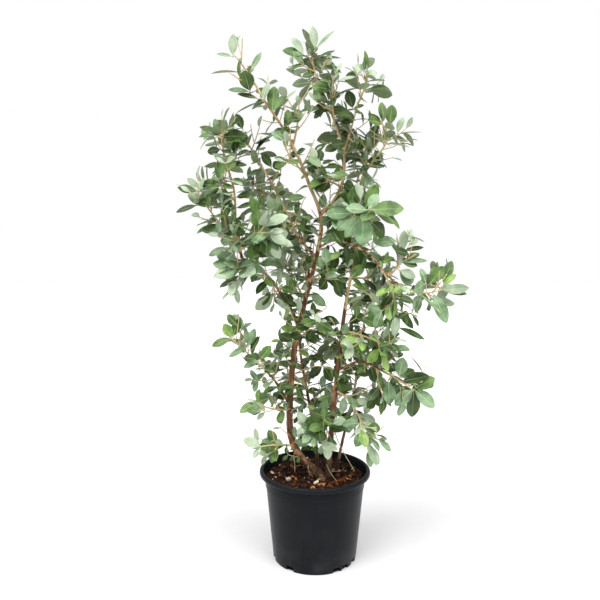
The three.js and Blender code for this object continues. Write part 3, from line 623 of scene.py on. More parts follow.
def through(points):
    """A smooth curve through points, which turns evenly however far apart they are."""
    last = len(points) - 1

    def point_at(time):
        i = min(int(time * last), last - 1)
        w = time * last - i
        a, b = points[i], points[i + 1]
        before = points[i - 1] if i > 0 else 2 * a - b
        after = points[i + 2] if i + 2 <= last else 2 * b - a
        d0, d1, d2 = (np.linalg.norm(q - p) ** 0.5 for p, q in ((before, a), (a, b), (b, after)))
        leave = ((a - before) / d0 - (b - before) / (d0 + d1) + (b - a) / d1) * d1
        reach = ((b - a) / d1 - (after - a) / (d1 + d2) + (after - b) / d2) * d1
        square = 3 * (b - a) - 2 * leave - reach
        return a + leave * w + square * w**2 + (2 * (a - b) + leave + reach) * w**3

    return Route(point_at)


def millimetres(*places):
    return [np.array(place, float) * MM for place in places]


def frames_along(route, alongs):
    """Centres of rings on a route, with two directions across each that don't twist."""
    heading = route.heading(alongs[0])
    side = unit(np.cross(heading, SIDEWAYS))
    frames = []
    for along in alongs:
        heading = route.heading(along)
        side = unit(side - heading * np.dot(side, heading))
        frames.append((route.at(along), side, np.cross(heading, side)))
    return frames


def ways_round(side, other, sides):
    """Directions evenly round a tube."""
    angles = [2 * math.pi * k / sides for k in range(sides)]
    return [side * math.cos(angle) + other * math.sin(angle) for angle in angles]


def tube_faces(first, rings, sides):
    """Faces over rings of vertices, which follow each other from the first, then over the two ends."""
    faces = []
    for ring in range(rings - 1):
        for k in range(sides):
            a, b = first + ring * sides + k, first + ring * sides + (k + 1) % sides
            faces.append((a, b, b + sides, a + sides))
    last = first + (rings - 1) * sides
    return faces + [[first + k for k in reversed(range(sides))], [last + k for k in range(sides)]]


def add_tube(vertices, faces, route, radius_at, sides, step, relief=None):
    """A closed tube whose radius and relief follow the place along and round it."""
    steps = max(2, round(route.length / step))
    alongs = [i / steps for i in range(steps + 1)]
    faces.extend(tube_faces(len(vertices), steps + 1, sides))
    for along, (centre, side, other) in zip(alongs, frames_along(route, alongs)):
        radius = radius_at(along)
        for out in ways_round(side, other, sides):
            proud = relief(centre + out * radius, radius) if relief else 0.0
            vertices.append(centre + out * (radius + proud))


limbs = {}
for name, foot, tip, path in STEMS:
    limbs[name] = (through(millimetres(*path)), foot * MM, tip * MM, True)
for name, limb, at, foot, tip, path in BOUGHS:
    anchor = limbs[limb][0].at(at)
    limbs[name] = (through([anchor, *millimetres(*path)]), foot * MM, tip * MM, False)


def knuckle(walked, spacing, half_length):
    """1 where wood is thickest at a node, and 0 between the nodes."""
    return math.exp(-(((walked % spacing) - spacing / 2) / half_length) ** 2)


def limb_radius(route, foot, tip, is_stem):
    def radius_at(along):
        walked = along * route.length
        taper = foot + (tip - foot) * along
        swollen = LIMB_KNUCKLE * taper * knuckle(walked, NODE_SPACING, LIMB_KNUCKLE_LENGTH)
        if is_stem:
            return taper + swollen + ROOT_FLARE * math.exp(-walked / ROOT_FLARE_HEIGHT)
        return taper * (1 + FORK_COLLAR * math.exp(-walked / FORK_COLLAR_LENGTH)) + swollen

    return radius_at


def bark_relief(point, radius):
    x, y, z = point
    plate = noise.noise(Vector((x / PLATE_WIDTH, y / PLATE_WIDTH, z / PLATE_HEIGHT)))
    step = 1 / (1 + math.exp(-PLATE_EDGE * (plate - PLATE_LEVEL)))
    gnarl = noise.noise(Vector((x, y, z)) / GNARL_SIZE)
    share = min(1.0, radius / ROUGH_RADIUS)
    return share * (PLATE_DEPTH * (step - 0.5) + GNARL * gnarl)


def make_limbs():
    vertices, faces = [], []
    for route, foot, tip, is_stem in limbs.values():
        sides = next(count for radius, count in LIMB_SIDES if foot > radius)
        radius_at = limb_radius(route, foot, tip, is_stem)
        add_tube(vertices, faces, route, radius_at, sides, LIMB_STEP, bark_relief)
    return vertices, faces


def bark_slots(vertices, faces):
    """Which bark each face wears: weathered near the mix, smooth on thin wood, flaking between."""
    slots = []
    for face in faces:
        middle = sum(vertices[k] for k in face) / len(face)
        across = np.linalg.norm(vertices[face[0]] - vertices[face[1]])
        patch = noise.noise(Vector(middle) / BARK_PATCH)
        if middle[2] < WEATHERED_TOP[0] + WEATHERED_TOP[1] * patch:
            slots.append(0)
        elif middle[2] > SMOOTH_FOOT[0] + SMOOTH_FOOT[1] * patch or across < THIN_FACE:
            slots.append(2)
        else:
            slots.append(1)
    return slots


def flaking_bark(name, crack_hex, bark_hex, flake_hex, flake_share):
    """Bark in upright plates with dark cracks between them and paler patches that have peeled."""
    material, tree, shader, place = start_material(name, IOR=1.5, Roughness=0.72)
    stretch = (1, 1, PLATE_WIDTH / PLATE_HEIGHT)
    upright = add_node(tree, "ShaderNodeMapping", {"Scale": stretch}, {"Vector": place}).outputs[0]
    plates = add_noise(tree, upright, PLATE_WIDTH, 6, Roughness=0.62)
    patches = add_noise(tree, upright, 16 * MM, 3)
    body = add_mix(tree, add_range(tree, plates, 0.34, 0.5), crack_hex, bark_hex)
    peeled = add_range(tree, patches, 1 - flake_share, 1.12 - flake_share)
    tree.links.new(add_mix(tree, peeled, body, flake_hex), shader.inputs["Base Color"])
    tree.links.new(add_range(tree, patches, 0, 1, 0.85, 0.55), shader.inputs["Roughness"])
    add_bump(tree, shader, plates, 0.6, 0.5 * MM)
    return material


# Weathered bark at the foot is grey brown, the flaking bark above it red brown with paler peeled
# patches, and the thin wood of the crown still has its smooth orange-tan skin.
weathered_bark = flaking_bark("weathered_bark", "#1a110a", "#5e412c", "#94765a", 0.46)
red_bark = flaking_bark("flaking_red_bark", "#29170c", "#764b2f", "#b0825b", 0.5)
smooth_bark = flaking_bark("smooth_young_bark", "#8a6440", "#c49a6a", "#e4c79c", 0.54)
limb_vertices, limb_faces = make_limbs()
barks = [weathered_bark, red_bark, smooth_bark]
limb_slots = bark_slots(limb_vertices, limb_faces)
wood = add_piece("stems_and_boughs", limb_vertices, limb_faces, barks, limb_slots)
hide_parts(*limbs)

# Cut stub: where an old stem was sawn off at the crotch, just above the mix. Its end is bare
# heartwood with a paler rim of callus that has started to roll over the cut.
STUB_PLACE = np.array((13 * MM, -27 * MM, 197 * MM))
STUB_HEADING = unit(np.array((0.2, -0.94, -0.28)))
STUB_LENGTH = 17 * MM
STUB_RADIUS = 5.6 * MM
STUB_SIDES = 24
STUB_SWELL = 0.5 * MM
STUB_SWELL_SIZE = 4 * MM
# The stub's outline, as shares of its length and of its radius, and the row where its bark ends.
STUB_OUTLINE = ((-0.9, 1.15), (0.2, 1.02), (0.7, 1.0), (0.86, 1.06), (0.97, 0.98), (1.0, 0.8),
                (0.95, 0.55), (0.97, 0.25))
STUB_BARK_ROWS = 4


def make_stub():
    side = unit(np.cross(STUB_HEADING, UP))
    other = np.cross(STUB_HEADING, side)
    vertices = []
    for along, width in STUB_OUTLINE:
        for out in ways_round(side, other, STUB_SIDES):
            spot = STUB_PLACE + STUB_HEADING * along * STUB_LENGTH + out * width * STUB_RADIUS
            rise = STUB_SWELL * noise.noise(Vector(spot) / STUB_SWELL_SIZE)
            vertices.append(spot + out * rise)
    faces = tube_faces(0, len(STUB_OUTLINE), STUB_SIDES)
    bark_faces = STUB_BARK_ROWS * STUB_SIDES
    wood_faces = len(faces) - 2 - bark_faces
    return vertices, faces, [0] * bark_faces + [1] * wood_faces + [0, 1]


# Sawn heartwood: dry, pale and matt, with growth rings about 1 mm apart.
heartwood = mottled("sawn_heartwood", "#9c6f52", "#c49b7c", 1 * MM, 3, IOR=1.5, Roughness=0.78)
stub_vertices, stub_faces, stub_slots = make_stub()
stub = add_piece("cut_stub", stub_vertices, stub_faces, [weathered_bark, heartwood], stub_slots)

# Twigs: each mass of foliage grows from one stem of its own, with side twigs by turns round it
# and fine shoots on those. They are this year's wood, tan and smooth, thickened at each leaf pair.
# Each mass: name, the limb it leaves and how far along, its tip and bow in millimetres, the turn
# in degrees of its first side twig, the number of side twigs, the reach in millimetres that it
# keeps to, and the tone and size of its leaves. The deep tone of the inner, under and back masses
# is partly painted shade: their leaves are darker where the crown shades them.
MASSES = (
    ("top_left", "stem_left", 1, (-172, -26, 1104), (6, 0, 4), 210, 3, 80, "mixed", 1.04),
    ("top_centre", "bough_top_centre", 1, (-8, 40, 1120), (-10, 0, -2), 300, 4, 96, "mixed", 1.0),
    ("top_inner", "bough_top_centre", 0.55, (30, 4, 1042), (0, -6, -6), 270, 3, 78, "mixed", 1.0),
    ("top_right", "bough_top_right", 1, (112, 16, 1066), (4, 0, 0), 190, 3, 82, "deep", 1.0),
    ("right_upper", "bough_right_upper", 1, (158, -14, 948), (6, 0, -8), 90, 3, 90, "mixed", 1.0),
    ("right_shoulder", "bough_right_upper", 0.5, (112, 8, 940), (8, 0, 4), 133, 3, 78, "deep", 0.9),
    ("left_high", "bough_left_high", 1, (-194, -66, 936), (-4, 0, 8), 315, 3, 80, "deep", 0.94),
    ("left_side", "bough_left_high", 0.6, (-190, -96, 842), (-10, 0, -4), 300, 2, 76, "mixed", 0.94),
    ("left_inner", "bough_middle_left", 0.3, (-92, -86, 780), (0, -8, -8), 83, 3, 88, "deep", 0.92),
    ("left_outer", "bough_left_high", 0.2, (-238, -102, 813), (-6, -6, -8), 120, 4, 82, "mixed", 1.0),
    ("left_shoulder", "stem_left", 0.87, (-36, -36, 1000), (6, -4, 0), 227, 2, 78, "mixed", 0.9),
    ("left_crown", "stem_left", 0.79, (-64, -62, 906), (2, -8, -6), 120, 3, 78, "mixed", 0.88),
    ("middle_left", "bough_middle_left", 1, (-158, 30, 944), (-2, 0, 6), 284, 3, 94, "deep", 1.0),
    ("middle_back", "bough_middle_left", 0.6, (-138, 92, 842), (0, 8, 0), 29, 3, 88, "deep", 0.9),
    ("front_left", "bough_left_high", 0.1, (-102, -148, 748), (0, -10, -10), 331, 3, 96, "sage", 1.14),
    ("left_hanging", "bough_left_low", 0.96, (-152, -118, 646), (-8, -8, 6), 90, 3, 84, "sage", 1.0),
    ("left_under", "bough_left_low", 0.6, (-84, -14, 602), (-4, 6, 0), 240, 3, 82, "sage", 0.9),
    ("front_right", "stem_left", 0.68, (130, -122, 782), (0, -4, 12), 7, 3, 86, "sage", 1.2),
    ("centre_upper", "bough_leader_right", 0.5, (10, -30, 852), (-6, -8, 4), 233, 3, 84, "mixed", 0.9),
    ("right_middle", "bough_right_outer", 0.45, (182, -72, 694), (8, 0, -4), 144, 3, 84, "mixed", 0.92),
    ("right_outer", "bough_right_outer", 1, (256, -95, 618), (0, 0, -8), 240, 3, 104, "mixed", 1.2),
    ("right_fresh", "bough_right_outer", 0.3, (170, -86, 560), (6, -6, 6), 333, 4, 96, "fresh", 0.86),
    ("right_inner", "stem_right", 0.8, (128, -10, 640), (8, -10, -6), 123, 4, 96, "fresh", 0.84),
    ("right_green", "stem_right", 0.6, (154, -108, 496), (8, -10, 10), 205, 5, 104, "fresh", 0.92),
    ("right_low", "bough_right_low", 1, (202, -106, 408), (0, -2, 6), 270, 2, 88, "sage", 1.2),
    ("right_under", "bough_right_low", 0.8, (138, -52, 376), (4, 4, 0), 254, 3, 90, "deep", 0.85),
    ("left_foot", "bough_left_foot", 1, (-184, -56, 514), (-4, 0, 4), 240, 3, 76, "mixed", 0.86),
    ("left_low", "stem_left", 0.215, (-124, -76, 376), (-8, -6, -10), 0, 1, 72, "sage", 0.85),
    ("left_lowest", "stem_left", 0.125, (-118, -70, 278), (0, -6, 8), 330, 1, 64, "sage", 0.8),
    ("hanging", "stem_right", 0.37, (108, -88, 284), (18, 0, 40), 90, 4, 84, "sage", 0.95),
    ("centre_low", "stem_right", 0.26, (6, -78, 318), (-4, -10, -4), 211, 4, 92, "sage", 0.82),
    ("centre_middle", "stem_left", 0.38, (4, -58, 566), (6, -8, -6), 29, 3, 86, "fresh", 0.85),
    ("centre_high", "stem_left", 0.54, (48, -78, 640), (-6, -8, -4), 104, 4, 92, "fresh", 0.88),
    ("back_left_low", "stem_back", 0.5, (-90, 122, 434), (-8, 4, 0), 265, 3, 92, "deep", 0.92),
    ("back_centre_low", "stem_back", 0.26, (32, 104, 328), (4, -4, 4), 94, 4, 90, "sage", 0.88),
    ("back_centre", "stem_side", 0.8, (24, 112, 456), (0, 8, 0), 2, 4, 88, "mixed", 1.0),
    ("back_left", "stem_back", 1, (-70, 164, 672), (0, 6, -4), 3, 4, 108, "mixed", 1.0),
    ("back_right_low", "stem_side", 0.6, (170, 108, 464), (4, 4, 4), 177, 4, 80, "sage", 0.92),
    ("back_right", "stem_side", 1, (158, 136, 606), (4, 4, -4), 172, 4, 110, "mixed", 1.0),
    ("back_middle", "bough_back_middle", 1, (-100, 172, 800), (0, 6, -4), 209, 3, 90, "mixed", 1.0),
    ("back_top", "bough_leader_right", 0.62, (66, 120, 988), (0, 16, -10), 176, 4, 82, "mixed", 1.0),
    ("back_right_high", "stem_right", 0.86, (108, 118, 792), (4, 6, -4), 89, 4, 90, "mixed", 1.0),
)
FIRST_SEED = 101
SEED_STEP = 7
TWIG_FOOT = 2.5 * MM
TWIG_TIP = 1.2 * MM
TWIG_STEP = 5 * MM
TWIG_SIDES = 7
TWIG_KNUCKLE = 0.22
TWIG_KNUCKLE_LENGTH = 1.6 * MM
PAIR_SPACING = 21 * MM
TIP_TAPER = 0.24
# Side twigs: where they start, angles in degrees, turns in radians and lengths, with how much each
# may differ. Here and below, LEAVES is the size of the leaves that they bear.
SIDE_TWIG_FIRST = 26 * MM
SIDE_TWIG_SPACING = 34 * MM
SIDE_TWIG_SHIFT = 0.3
SIDE_TWIG_ANGLE = 52
SIDE_TWIG_SWAY = 16
SIDE_TWIG_TURN = 2.4
SIDE_TWIG_LENGTH = 58 * MM
SIDE_TWIG_LONGEST = 1.1
SIDE_TWIG_TAPER = 0.6
SIDE_TWIG_LEAST = 0.8
SIDE_TWIG_RANGE = 0.4
SIDE_TWIG_LIFT = 0.22
SIDE_TWIG_FOOT = 1.4 * MM
SIDE_TWIG_TIP = 0.95 * MM
SIDE_TWIG_LEAVES = 0.95
# Fine shoots on the twigs, with the same kinds of values.
SHOOT_SEED = 5003
SHOOT_PLACE = 0.25
SHOOT_ANGLE = 42
SHOOT_SWAY = 16
SHOOT_LENGTH = 34 * MM
SHOOT_LEAST = 0.6
SHOOT_RANGE = 0.7
SHOOT_LIFT = 0.3
SHOOT_FOOT = 1.1 * MM
SHOOT_TIP = 0.8 * MM
SHOOT_LEAVES = 0.8
# Spurs on the limbs: GAPS is the share left out, MARGIN how far inside a mass's space they begin.
SPUR_SEED = 7001
BARE_FOOT = 28 * MM
SPUR_FIRST = 12 * MM
SPUR_SPACING = 26 * MM
SPUR_SPREAD = (0.75, 1.3)
SPUR_MARGIN = 28 * MM
SPUR_GAPS = 0.22
SPUR_ANGLES = (48, 74)
SPUR_SWAY = (-0.4, 0.4)
SPUR_TURN_SWAY = (-0.5, 0.5)
SPUR_LENGTH = 38 * MM
SPUR_LENGTHS = (0.5, 1.3)
SPUR_LIFT = 0.2
SPUR_LEAVES = (0.5, 0.8)
LIMB_END = 4 * MM
# Leaf pairs that sit straight on limbs thinner than PAIR_WOOD.
LIMB_PAIR_SEED = 8209
LIMB_PAIR_FIRST = 16 * MM
LIMB_PAIR_SPACING = 21 * MM
LIMB_PAIR_SPREAD = (0.85, 1.2)
LIMB_PAIR_SWAY = (-0.4, 0.4)
LIMB_PAIR_MARGIN = 26 * MM
LIMB_PAIR_GAPS = 0.2
PAIR_WOOD = 4.4 * MM
# The seeded numbers are made in words of 32 bits.
WORD = 0xFFFFFFFF


def seeded(seed):
    """Numbers from 0 to 1 that are the same for the same seed, by the rule called mulberry32."""
    state = seed & WORD

    def draw():
        nonlocal state
        state = (state + 0x6D2B79F5) & WORD
        mixed = (state ^ (state >> 15)) * (state | 1) & WORD
        mixed ^= (mixed + (mixed ^ (mixed >> 7)) * (mixed | 61)) & WORD
        return (mixed ^ (mixed >> 14)) / 2**32

    return draw


def bowed(start, middle, end):
    """A curve that leaves start towards middle and comes to end from it."""
    return Route(lambda t: (1 - t) ** 2 * start + 2 * t * (1 - t) * middle + t**2 * end)


def outward_at(heading, around):
    """The direction across a twig at an angle round it."""
    level = unit(np.cross(heading, UP))
    return level * math.cos(around) + np.cross(level, heading) * math.sin(around)


def lean(heading, outward, degrees):
    """A direction that leans out from a heading."""
    angle = math.radians(degrees)
    return heading * math.cos(angle) + outward * math.sin(angle)


def sprout(start, way, length, lift):
    """A twig that sets out one way and lifts its tip."""
    return bowed(start, start + way * length / 2, start + way * length + UP * lift * length)


def plan_twigs(row, seed):
    """The twigs of one mass: its own stem, then side twigs from alternate sides of it."""
    _, limb, at, tip, bow, turn, sides = row[:7]
    draw = seeded(seed)
    anchor = limbs[limb][0].at(at)
    tip, bow = millimetres(tip, bow)
    stem = bowed(anchor, (anchor + tip) / 2 + bow, tip)
    twigs = [(stem, TWIG_FOOT, TWIG_TIP, 1.0)]
    spacing = min(SIDE_TWIG_SPACING, (stem.length - SIDE_TWIG_FIRST) / sides)
    for i in range(sides):
        along = (SIDE_TWIG_FIRST + spacing * (i + SIDE_TWIG_SHIFT * draw())) / stem.length
        heading = stem.heading(along)
        outward = outward_at(heading, math.radians(turn) + i * SIDE_TWIG_TURN + draw())
        way = lean(heading, outward, SIDE_TWIG_ANGLE + SIDE_TWIG_SWAY * (draw() - 0.5))
        shorter = SIDE_TWIG_LONGEST - SIDE_TWIG_TAPER * along
        length = SIDE_TWIG_LENGTH * shorter * (SIDE_TWIG_LEAST + SIDE_TWIG_RANGE * draw())
        side_twig = sprout(stem.at(along), way, length, SIDE_TWIG_LIFT)
        twigs.append((side_twig, SIDE_TWIG_FOOT, SIDE_TWIG_TIP, SIDE_TWIG_LEAVES))
    return twigs


def plan_shoots(twigs, seed):
    """Fine shoots: one on each side twig and two on the mass's own stem."""
    draw = seeded(seed + SHOOT_SEED)
    shoots = []
    for number, (twig, *_) in enumerate(twigs):
        for i in range(2 if number == 0 else 1):
            along = SHOOT_PLACE * (1 + i + draw())
            heading = twig.heading(along)
            outward = outward_at(heading, draw() * 2 * math.pi)
            way = lean(heading, outward, SHOOT_ANGLE + SHOOT_SWAY * draw())
            length = SHOOT_LENGTH * (SHOOT_LEAST + SHOOT_RANGE * draw())
            shoot = sprout(twig.at(along), way, length, SHOOT_LIFT)
            shoots.append((shoot, SHOOT_FOOT, SHOOT_TIP, SHOOT_LEAVES))
    return shoots


def off_chord(point, start, end):
    """How far a point is from the line between start and end, and its share of the way along."""
    way = end - start
    share = float(np.clip(np.dot(point - start, way) / np.dot(way, way), 0, 1))
    return np.linalg.norm(point - start - way * share), share


def roomiest(point, chords):
    """The mass that takes a point in furthest, and how far."""
    room = [reach - off_chord(point, start, end)[0] for start, end, reach in chords]
    nearest = int(np.argmax(room))
    return nearest, room[nearest]


def plan_spurs(chords):
    """Short leafy spurs on the limbs, wherever a mass's space takes the limb in."""
    spurs = [[] for _ in chords]
    draw = random.Random(SPUR_SEED)
    for route, _, _, is_stem in limbs.values():
        walk = BARE_FOOT if is_stem else SPUR_FIRST
        around = draw.uniform(0, 2 * math.pi)
        while walk < route.length - LIMB_END:
            along = walk / route.length
            root, heading = route.at(along), route.heading(along)
            nearest, room = roomiest(root, chords)
            for side in (0, math.pi):
                if room < SPUR_MARGIN or draw.random() < SPUR_GAPS:
                    continue
                outward = outward_at(heading, around + side + draw.uniform(*SPUR_SWAY))
                way = lean(heading, outward, draw.uniform(*SPUR_ANGLES))
                spur = sprout(root, way, SPUR_LENGTH * draw.uniform(*SPUR_LENGTHS), SPUR_LIFT)
                spurs[nearest].append((spur, SHOOT_FOOT, SHOOT_TIP, draw.uniform(*SPUR_LEAVES)))
            around += math.pi / 2 + draw.uniform(*SPUR_TURN_SWAY)
            walk += SPUR_SPACING * draw.uniform(*SPUR_SPREAD)
    return spurs


def plan_limb_pairs(chords):
    """Leaf pairs that sit straight on thin limbs: root, heading, turn round the limb and its radius."""
    pairs = [[] for _ in chords]
    draw = random.Random(LIMB_PAIR_SEED)
    for route, foot, tip, _ in limbs.values():
        walk, turn = LIMB_PAIR_FIRST, draw.uniform(0, 2 * math.pi)
        while walk < route.length - LIMB_END:
            along = walk / route.length
            root, radius = route.at(along), foot + (tip - foot) * along
            nearest, room = roomiest(root, chords)
            if radius < PAIR_WOOD and room > LIMB_PAIR_MARGIN and draw.random() > LIMB_PAIR_GAPS:
                own_turn = turn + draw.uniform(*LIMB_PAIR_SWAY)
                pairs[nearest].append((root, route.heading(along), own_turn, radius))
            turn += math.pi / 2
            walk += LIMB_PAIR_SPACING * draw.uniform(*LIMB_PAIR_SPREAD)
    return pairs


def twig_radius(route, foot, tip):
    def radius_at(along):
        walked = along * route.length
        swollen = TWIG_KNUCKLE * knuckle(walked, PAIR_SPACING, TWIG_KNUCKLE_LENGTH)
        return (foot + (tip - foot) * along) * (1 + swollen)

    return radius_at


# Openings in the crown where the photograph shows sky, as read from it, in its pixels:
# the middle of each, half its width and half its height.
OPENINGS = np.array((
    (309, 128, 13, 11), (275, 60, 10, 14), (246, 50, 7, 12), (226, 79, 9, 4), (350, 85, 6, 5),
    (377, 109, 6, 7), (365, 127, 5, 6), (324, 133, 7, 4), (328, 154, 7, 5), (281, 151, 4, 6),
    (291, 169, 10, 5), (288, 182, 9, 4), (255, 134, 6, 5), (249, 117, 6, 6), (393, 152, 8, 4),
    (203, 212, 8, 5), (307, 206, 5, 8), (327, 193, 4, 7), (392, 226, 7, 8), (384, 246, 5, 5),
    (432, 250, 9, 8), (425, 266, 6, 4), (361, 277, 5, 6), (331, 302, 7, 11), (338, 319, 5, 9),
    (249, 292, 6, 8), (272, 318, 9, 7), (370, 329, 4, 5), (416, 281, 4, 4), (234, 360, 11, 5),
    (267, 402, 4, 6), (268, 420, 8, 8), (284, 434, 6, 8), (300, 359, 4, 6), (363, 381, 9, 6),
    (369, 371, 4, 5), (345, 445, 6, 6), (364, 455, 3, 7), (239, 24, 12, 7), (262, 68, 5, 8),
    (392, 188, 8, 9), (186, 201, 9, 3),
))
PHOTO_SIZE = 600
PHOTO_FOCUS = CAMERA_LENS / CAMERA_SENSOR * PHOTO_SIZE
eye = np.array(CAMERA_PLACE)
ahead = np.array((0, math.cos(CAMERA_PITCH), -math.sin(CAMERA_PITCH)))
right = np.array((1, 0, 0))
above = np.cross(right, ahead)


def seen_at(point):
    """Where the photograph shows a point, in pixels from its upper left corner."""
    away = point - eye
    depth = np.dot(away, ahead)
    across, up = np.dot(away, right) / depth, np.dot(away, above) / depth
    return PHOTO_SIZE / 2 + PHOTO_FOCUS * np.array((across, -up))


def placed(pixel, depth):
    """The point that the photograph shows at a pixel, on the upright plane at a depth along Y."""
    x, y = (np.array(pixel) - PHOTO_SIZE / 2) / PHOTO_FOCUS
    ray = ahead + right * x - above * y
    return eye + ray * (depth - eye[1]) / ray[1]


def in_opening(point):
    off = (seen_at(point) - OPENINGS[:, :2]) / OPENINGS[:, 2:]
    return bool(np.any(np.sum(off**2, axis=1) < 1))


masses = []
for index, row in enumerate(MASSES):
    seed = FIRST_SEED + SEED_STEP * index
    twigs = plan_twigs(row, seed)
    masses.append((row, seed, twigs + plan_shoots(twigs, seed)))
chords = [(twigs[0][0].at(0), twigs[0][0].at(1), row[7] * MM) for row, _, twigs in masses]
for (_, _, twigs), spurs in zip(masses, plan_spurs(chords)):
    twigs.extend(spurs)
    twigs[1:] = [twig for twig in twigs[1:] if not in_opening(twig[0].at(1))]
limb_pairs = plan_limb_pairs(chords)

# Leading leaves: the large leaves at the ends, which give the shrub its outline, as read
# from the photograph, in its pixels. Each row is a mass, its depth in millimetres and the node that
# the leaves grow from. Then come the leaves: the tip, how much deeper that is, breadth over length,
# degrees turned from facing the front towards facing up, and shade.
LEADERS = (
    ("right_outer", -95, (432, 292), (448.5, 323, -10, 0.42, 8, "sage")),
    ("right_outer", -95, (440, 290), (468, 292.5, 0, 0.34, 20, "deep"),
     (470, 288, -14, 0.36, -25, "young")),
    ("right_outer", -95, (430, 284), (444, 266, -6, 0.55, 5, "green"), (437, 261, 8, 0.34, 30, "green")),
    ("right_outer", -95, (443, 285), (451.5, 260, 4, 0.42, 20, "green"), (456, 274, -10, 0.4, 10, "fresh")),
    ("right_outer", -95, (426, 283), (421, 268, 0, 0.45, 10, "sage"), (415, 291, -34, 0.62, -40, "sage")),
    ("right_outer", -95, (422, 296), (415, 313, 0, 0.4, 20, "sage")),
    ("front_right", -128, (368, 210), (404.5, 207, -4, 0.5, 5, "green"), (346, 207, -6, 0.6, 15, "sage"),
     (378, 193, 10, 0.55, 0, "sage")),
    ("front_right", -128, (363, 214), (363, 246, -12, 0.62, 0, "sage"), (343.5, 237, 8, 0.5, 20, "sage")),
    ("front_right", -128, (371, 222), (386.5, 236, 30, 0.6, 0, "deep")),
    ("right_low", -106, (413.5, 389), (435, 377.5, -4, 0.56, 5, "green"), (436, 407, -8, 0.5, 10, "sage"),
     (413, 418.5, 6, 0.48, 10, "deep"), (394.5, 405, -8, 0.55, 10, "sage")),
    ("right_low", -106, (388, 380), (390.5, 405, -6, 0.55, 10, "sage")),
    ("right_low", -106, (399, 378), (403, 357, 10, 0.62, 5, "sage"), (415, 369, 14, 0.55, 10, "green")),
    ("top_left", -26, (233, 57), (233, 33, 0, 0.42, 5, "young"), (216.5, 52.5, 0, 0.38, 20, "sage")),
    ("top_left", -26, (240, 72), (211, 71, 0, 0.45, 62, "deep")),
    ("top_left", -26, (250, 92), (244, 70, -10, 0.72, 5, "deep"), (228, 88, 4, 0.36, 15, "sage")),
    ("top_left", -26, (250.5, 72), (261, 51, 0, 0.3, 10, "sage")),
    ("top_left", -26, (262, 101), (268.5, 82, 0, 0.42, 20, "young"), (235, 111, 0, 0.4, 62, "deep")),
    ("top_left", -26, (259, 99), (237, 92, 6, 0.3, 15, "deep")),
    ("top_left", -26, (272, 112), (274, 85, 6, 0.46, 5, "green"), (286, 93, -6, 0.38, 15, "green")),
    ("left_foot", -56, (232, 338), (211, 345.5, 0, 0.4, 10, "green"), (240, 317.5, 0, 0.44, 5, "green"),
     (224, 324, -6, 0.62, 5, "fresh")),
    ("left_foot", -56, (249, 346), (246, 330, 4, 0.5, 10, "sage"), (254.5, 328.5, -4, 0.42, 5, "sage"),
     (228, 356, -4, 0.34, 20, "sage")),
    ("left_foot", -56, (252, 350), (259, 336, 0, 0.32, 20, "deep")),
    ("left_foot", -56, (260, 360), (270.5, 345.5, 0, 0.55, 5, "green"), (243, 367, 0, 0.42, 15, "sage")),
    ("top_centre", 40, (315, 50), (313, 25, 0, 0.38, 10, "young"), (333, 29, 0, 0.22, 30, "sage")),
    ("top_centre", 40, (304, 55), (292, 36, 0, 0.45, 10, "young"), (282.5, 49, -6, 0.52, 5, "green")),
    ("top_centre", 40, (304, 63), (293, 51, -10, 0.6, 5, "sage"), (287, 70, 0, 0.38, 20, "green")),
    ("top_centre", 40, (317, 58), (335, 49, 0, 0.34, 30, "deep"), (341, 56, 0, 0.3, 30, "deep")),
    ("top_centre", 40, (326, 70), (318, 60, -4, 0.5, 0, "young"), (330, 52, -6, 0.45, 10, "young")),
    ("top_centre", 40, (315, 74), (302, 76, -8, 0.62, 10, "deep")),
    ("top_inner", 4, (337, 81), (356, 75, 0, 0.34, 25, "young"), (352, 82, 14, 0.34, 40, "deep")),
    ("top_right", 20, (353, 109), (348, 90, -4, 0.6, 0, "deep"), (364, 104, 0, 0.5, 20, "green")),
    ("left_shoulder", -30, (312, 82), (292, 84, 0, 0.58, 5, "deep")),
    ("right_middle", -80, (403, 251), (404.5, 230, 0, 0.45, 5, "young"), (424, 246, 0, 0.3, 20, "deep")),
    ("right_middle", -80, (401, 262), (418, 265, 0, 0.5, 5, "deep"), (428, 259, 6, 0.26, 20, "sage")),
    ("right_middle", -80, (399, 270), (416, 277, -6, 0.55, 0, "young"), (411, 286, 0, 0.5, 5, "sage")),
    ("right_upper", -14, (390, 126), (392, 104, 0, 0.55, 5, "green")),
    ("right_upper", -14, (397, 134), (421, 130, 0, 0.4, 55, "deep"), (403, 116, 4, 0.4, 20, "young")),
    ("left_outer", -104, (198, 205), (175, 211, 0, 0.36, 20, "deep")),
    ("right_fresh", -84, (397, 327), (426, 338, 0, 0.26, 25, "green")),
    ("hanging", -88, (368, 449), (371.5, 468, 0, 0.42, 10, "sage")),
    ("left_hanging", -106, (227, 247), (208, 255, 0, 0.4, 10, "sage")),
    ("middle_left", 24, (243, 130), (236, 113, 0, 0.5, 5, "deep")),
    ("middle_left", 24, (272, 168), (262, 153, 0, 0.5, 5, "deep")),
    ("centre_middle", -40, (327, 307), (312, 295, -8, 0.52, 5, "sage")),
    ("centre_middle", -40, (293, 342), (279, 333, 30, 0.6, 5, "deep")),
    ("left_inner", -30, (306, 197), (288, 198, 0, 0.48, 5, "green")),
    ("back_centre_low", 34, (323, 365), (309, 377, 0, 0.5, 0, "deep"), (333, 382, 0, 0.5, 0, "green")),
)
leading = []
for mass, depth, node, *leaves in LEADERS:
    tips = [(placed((x, y), (depth + deeper) * MM), *form) for x, y, deeper, *form in leaves]
    leading.append((mass, placed(node, depth * MM), tips))


LEADER_TRIES = 30
LEADER_NEAR = 2 * MM
LEADER_SAG = 0.1


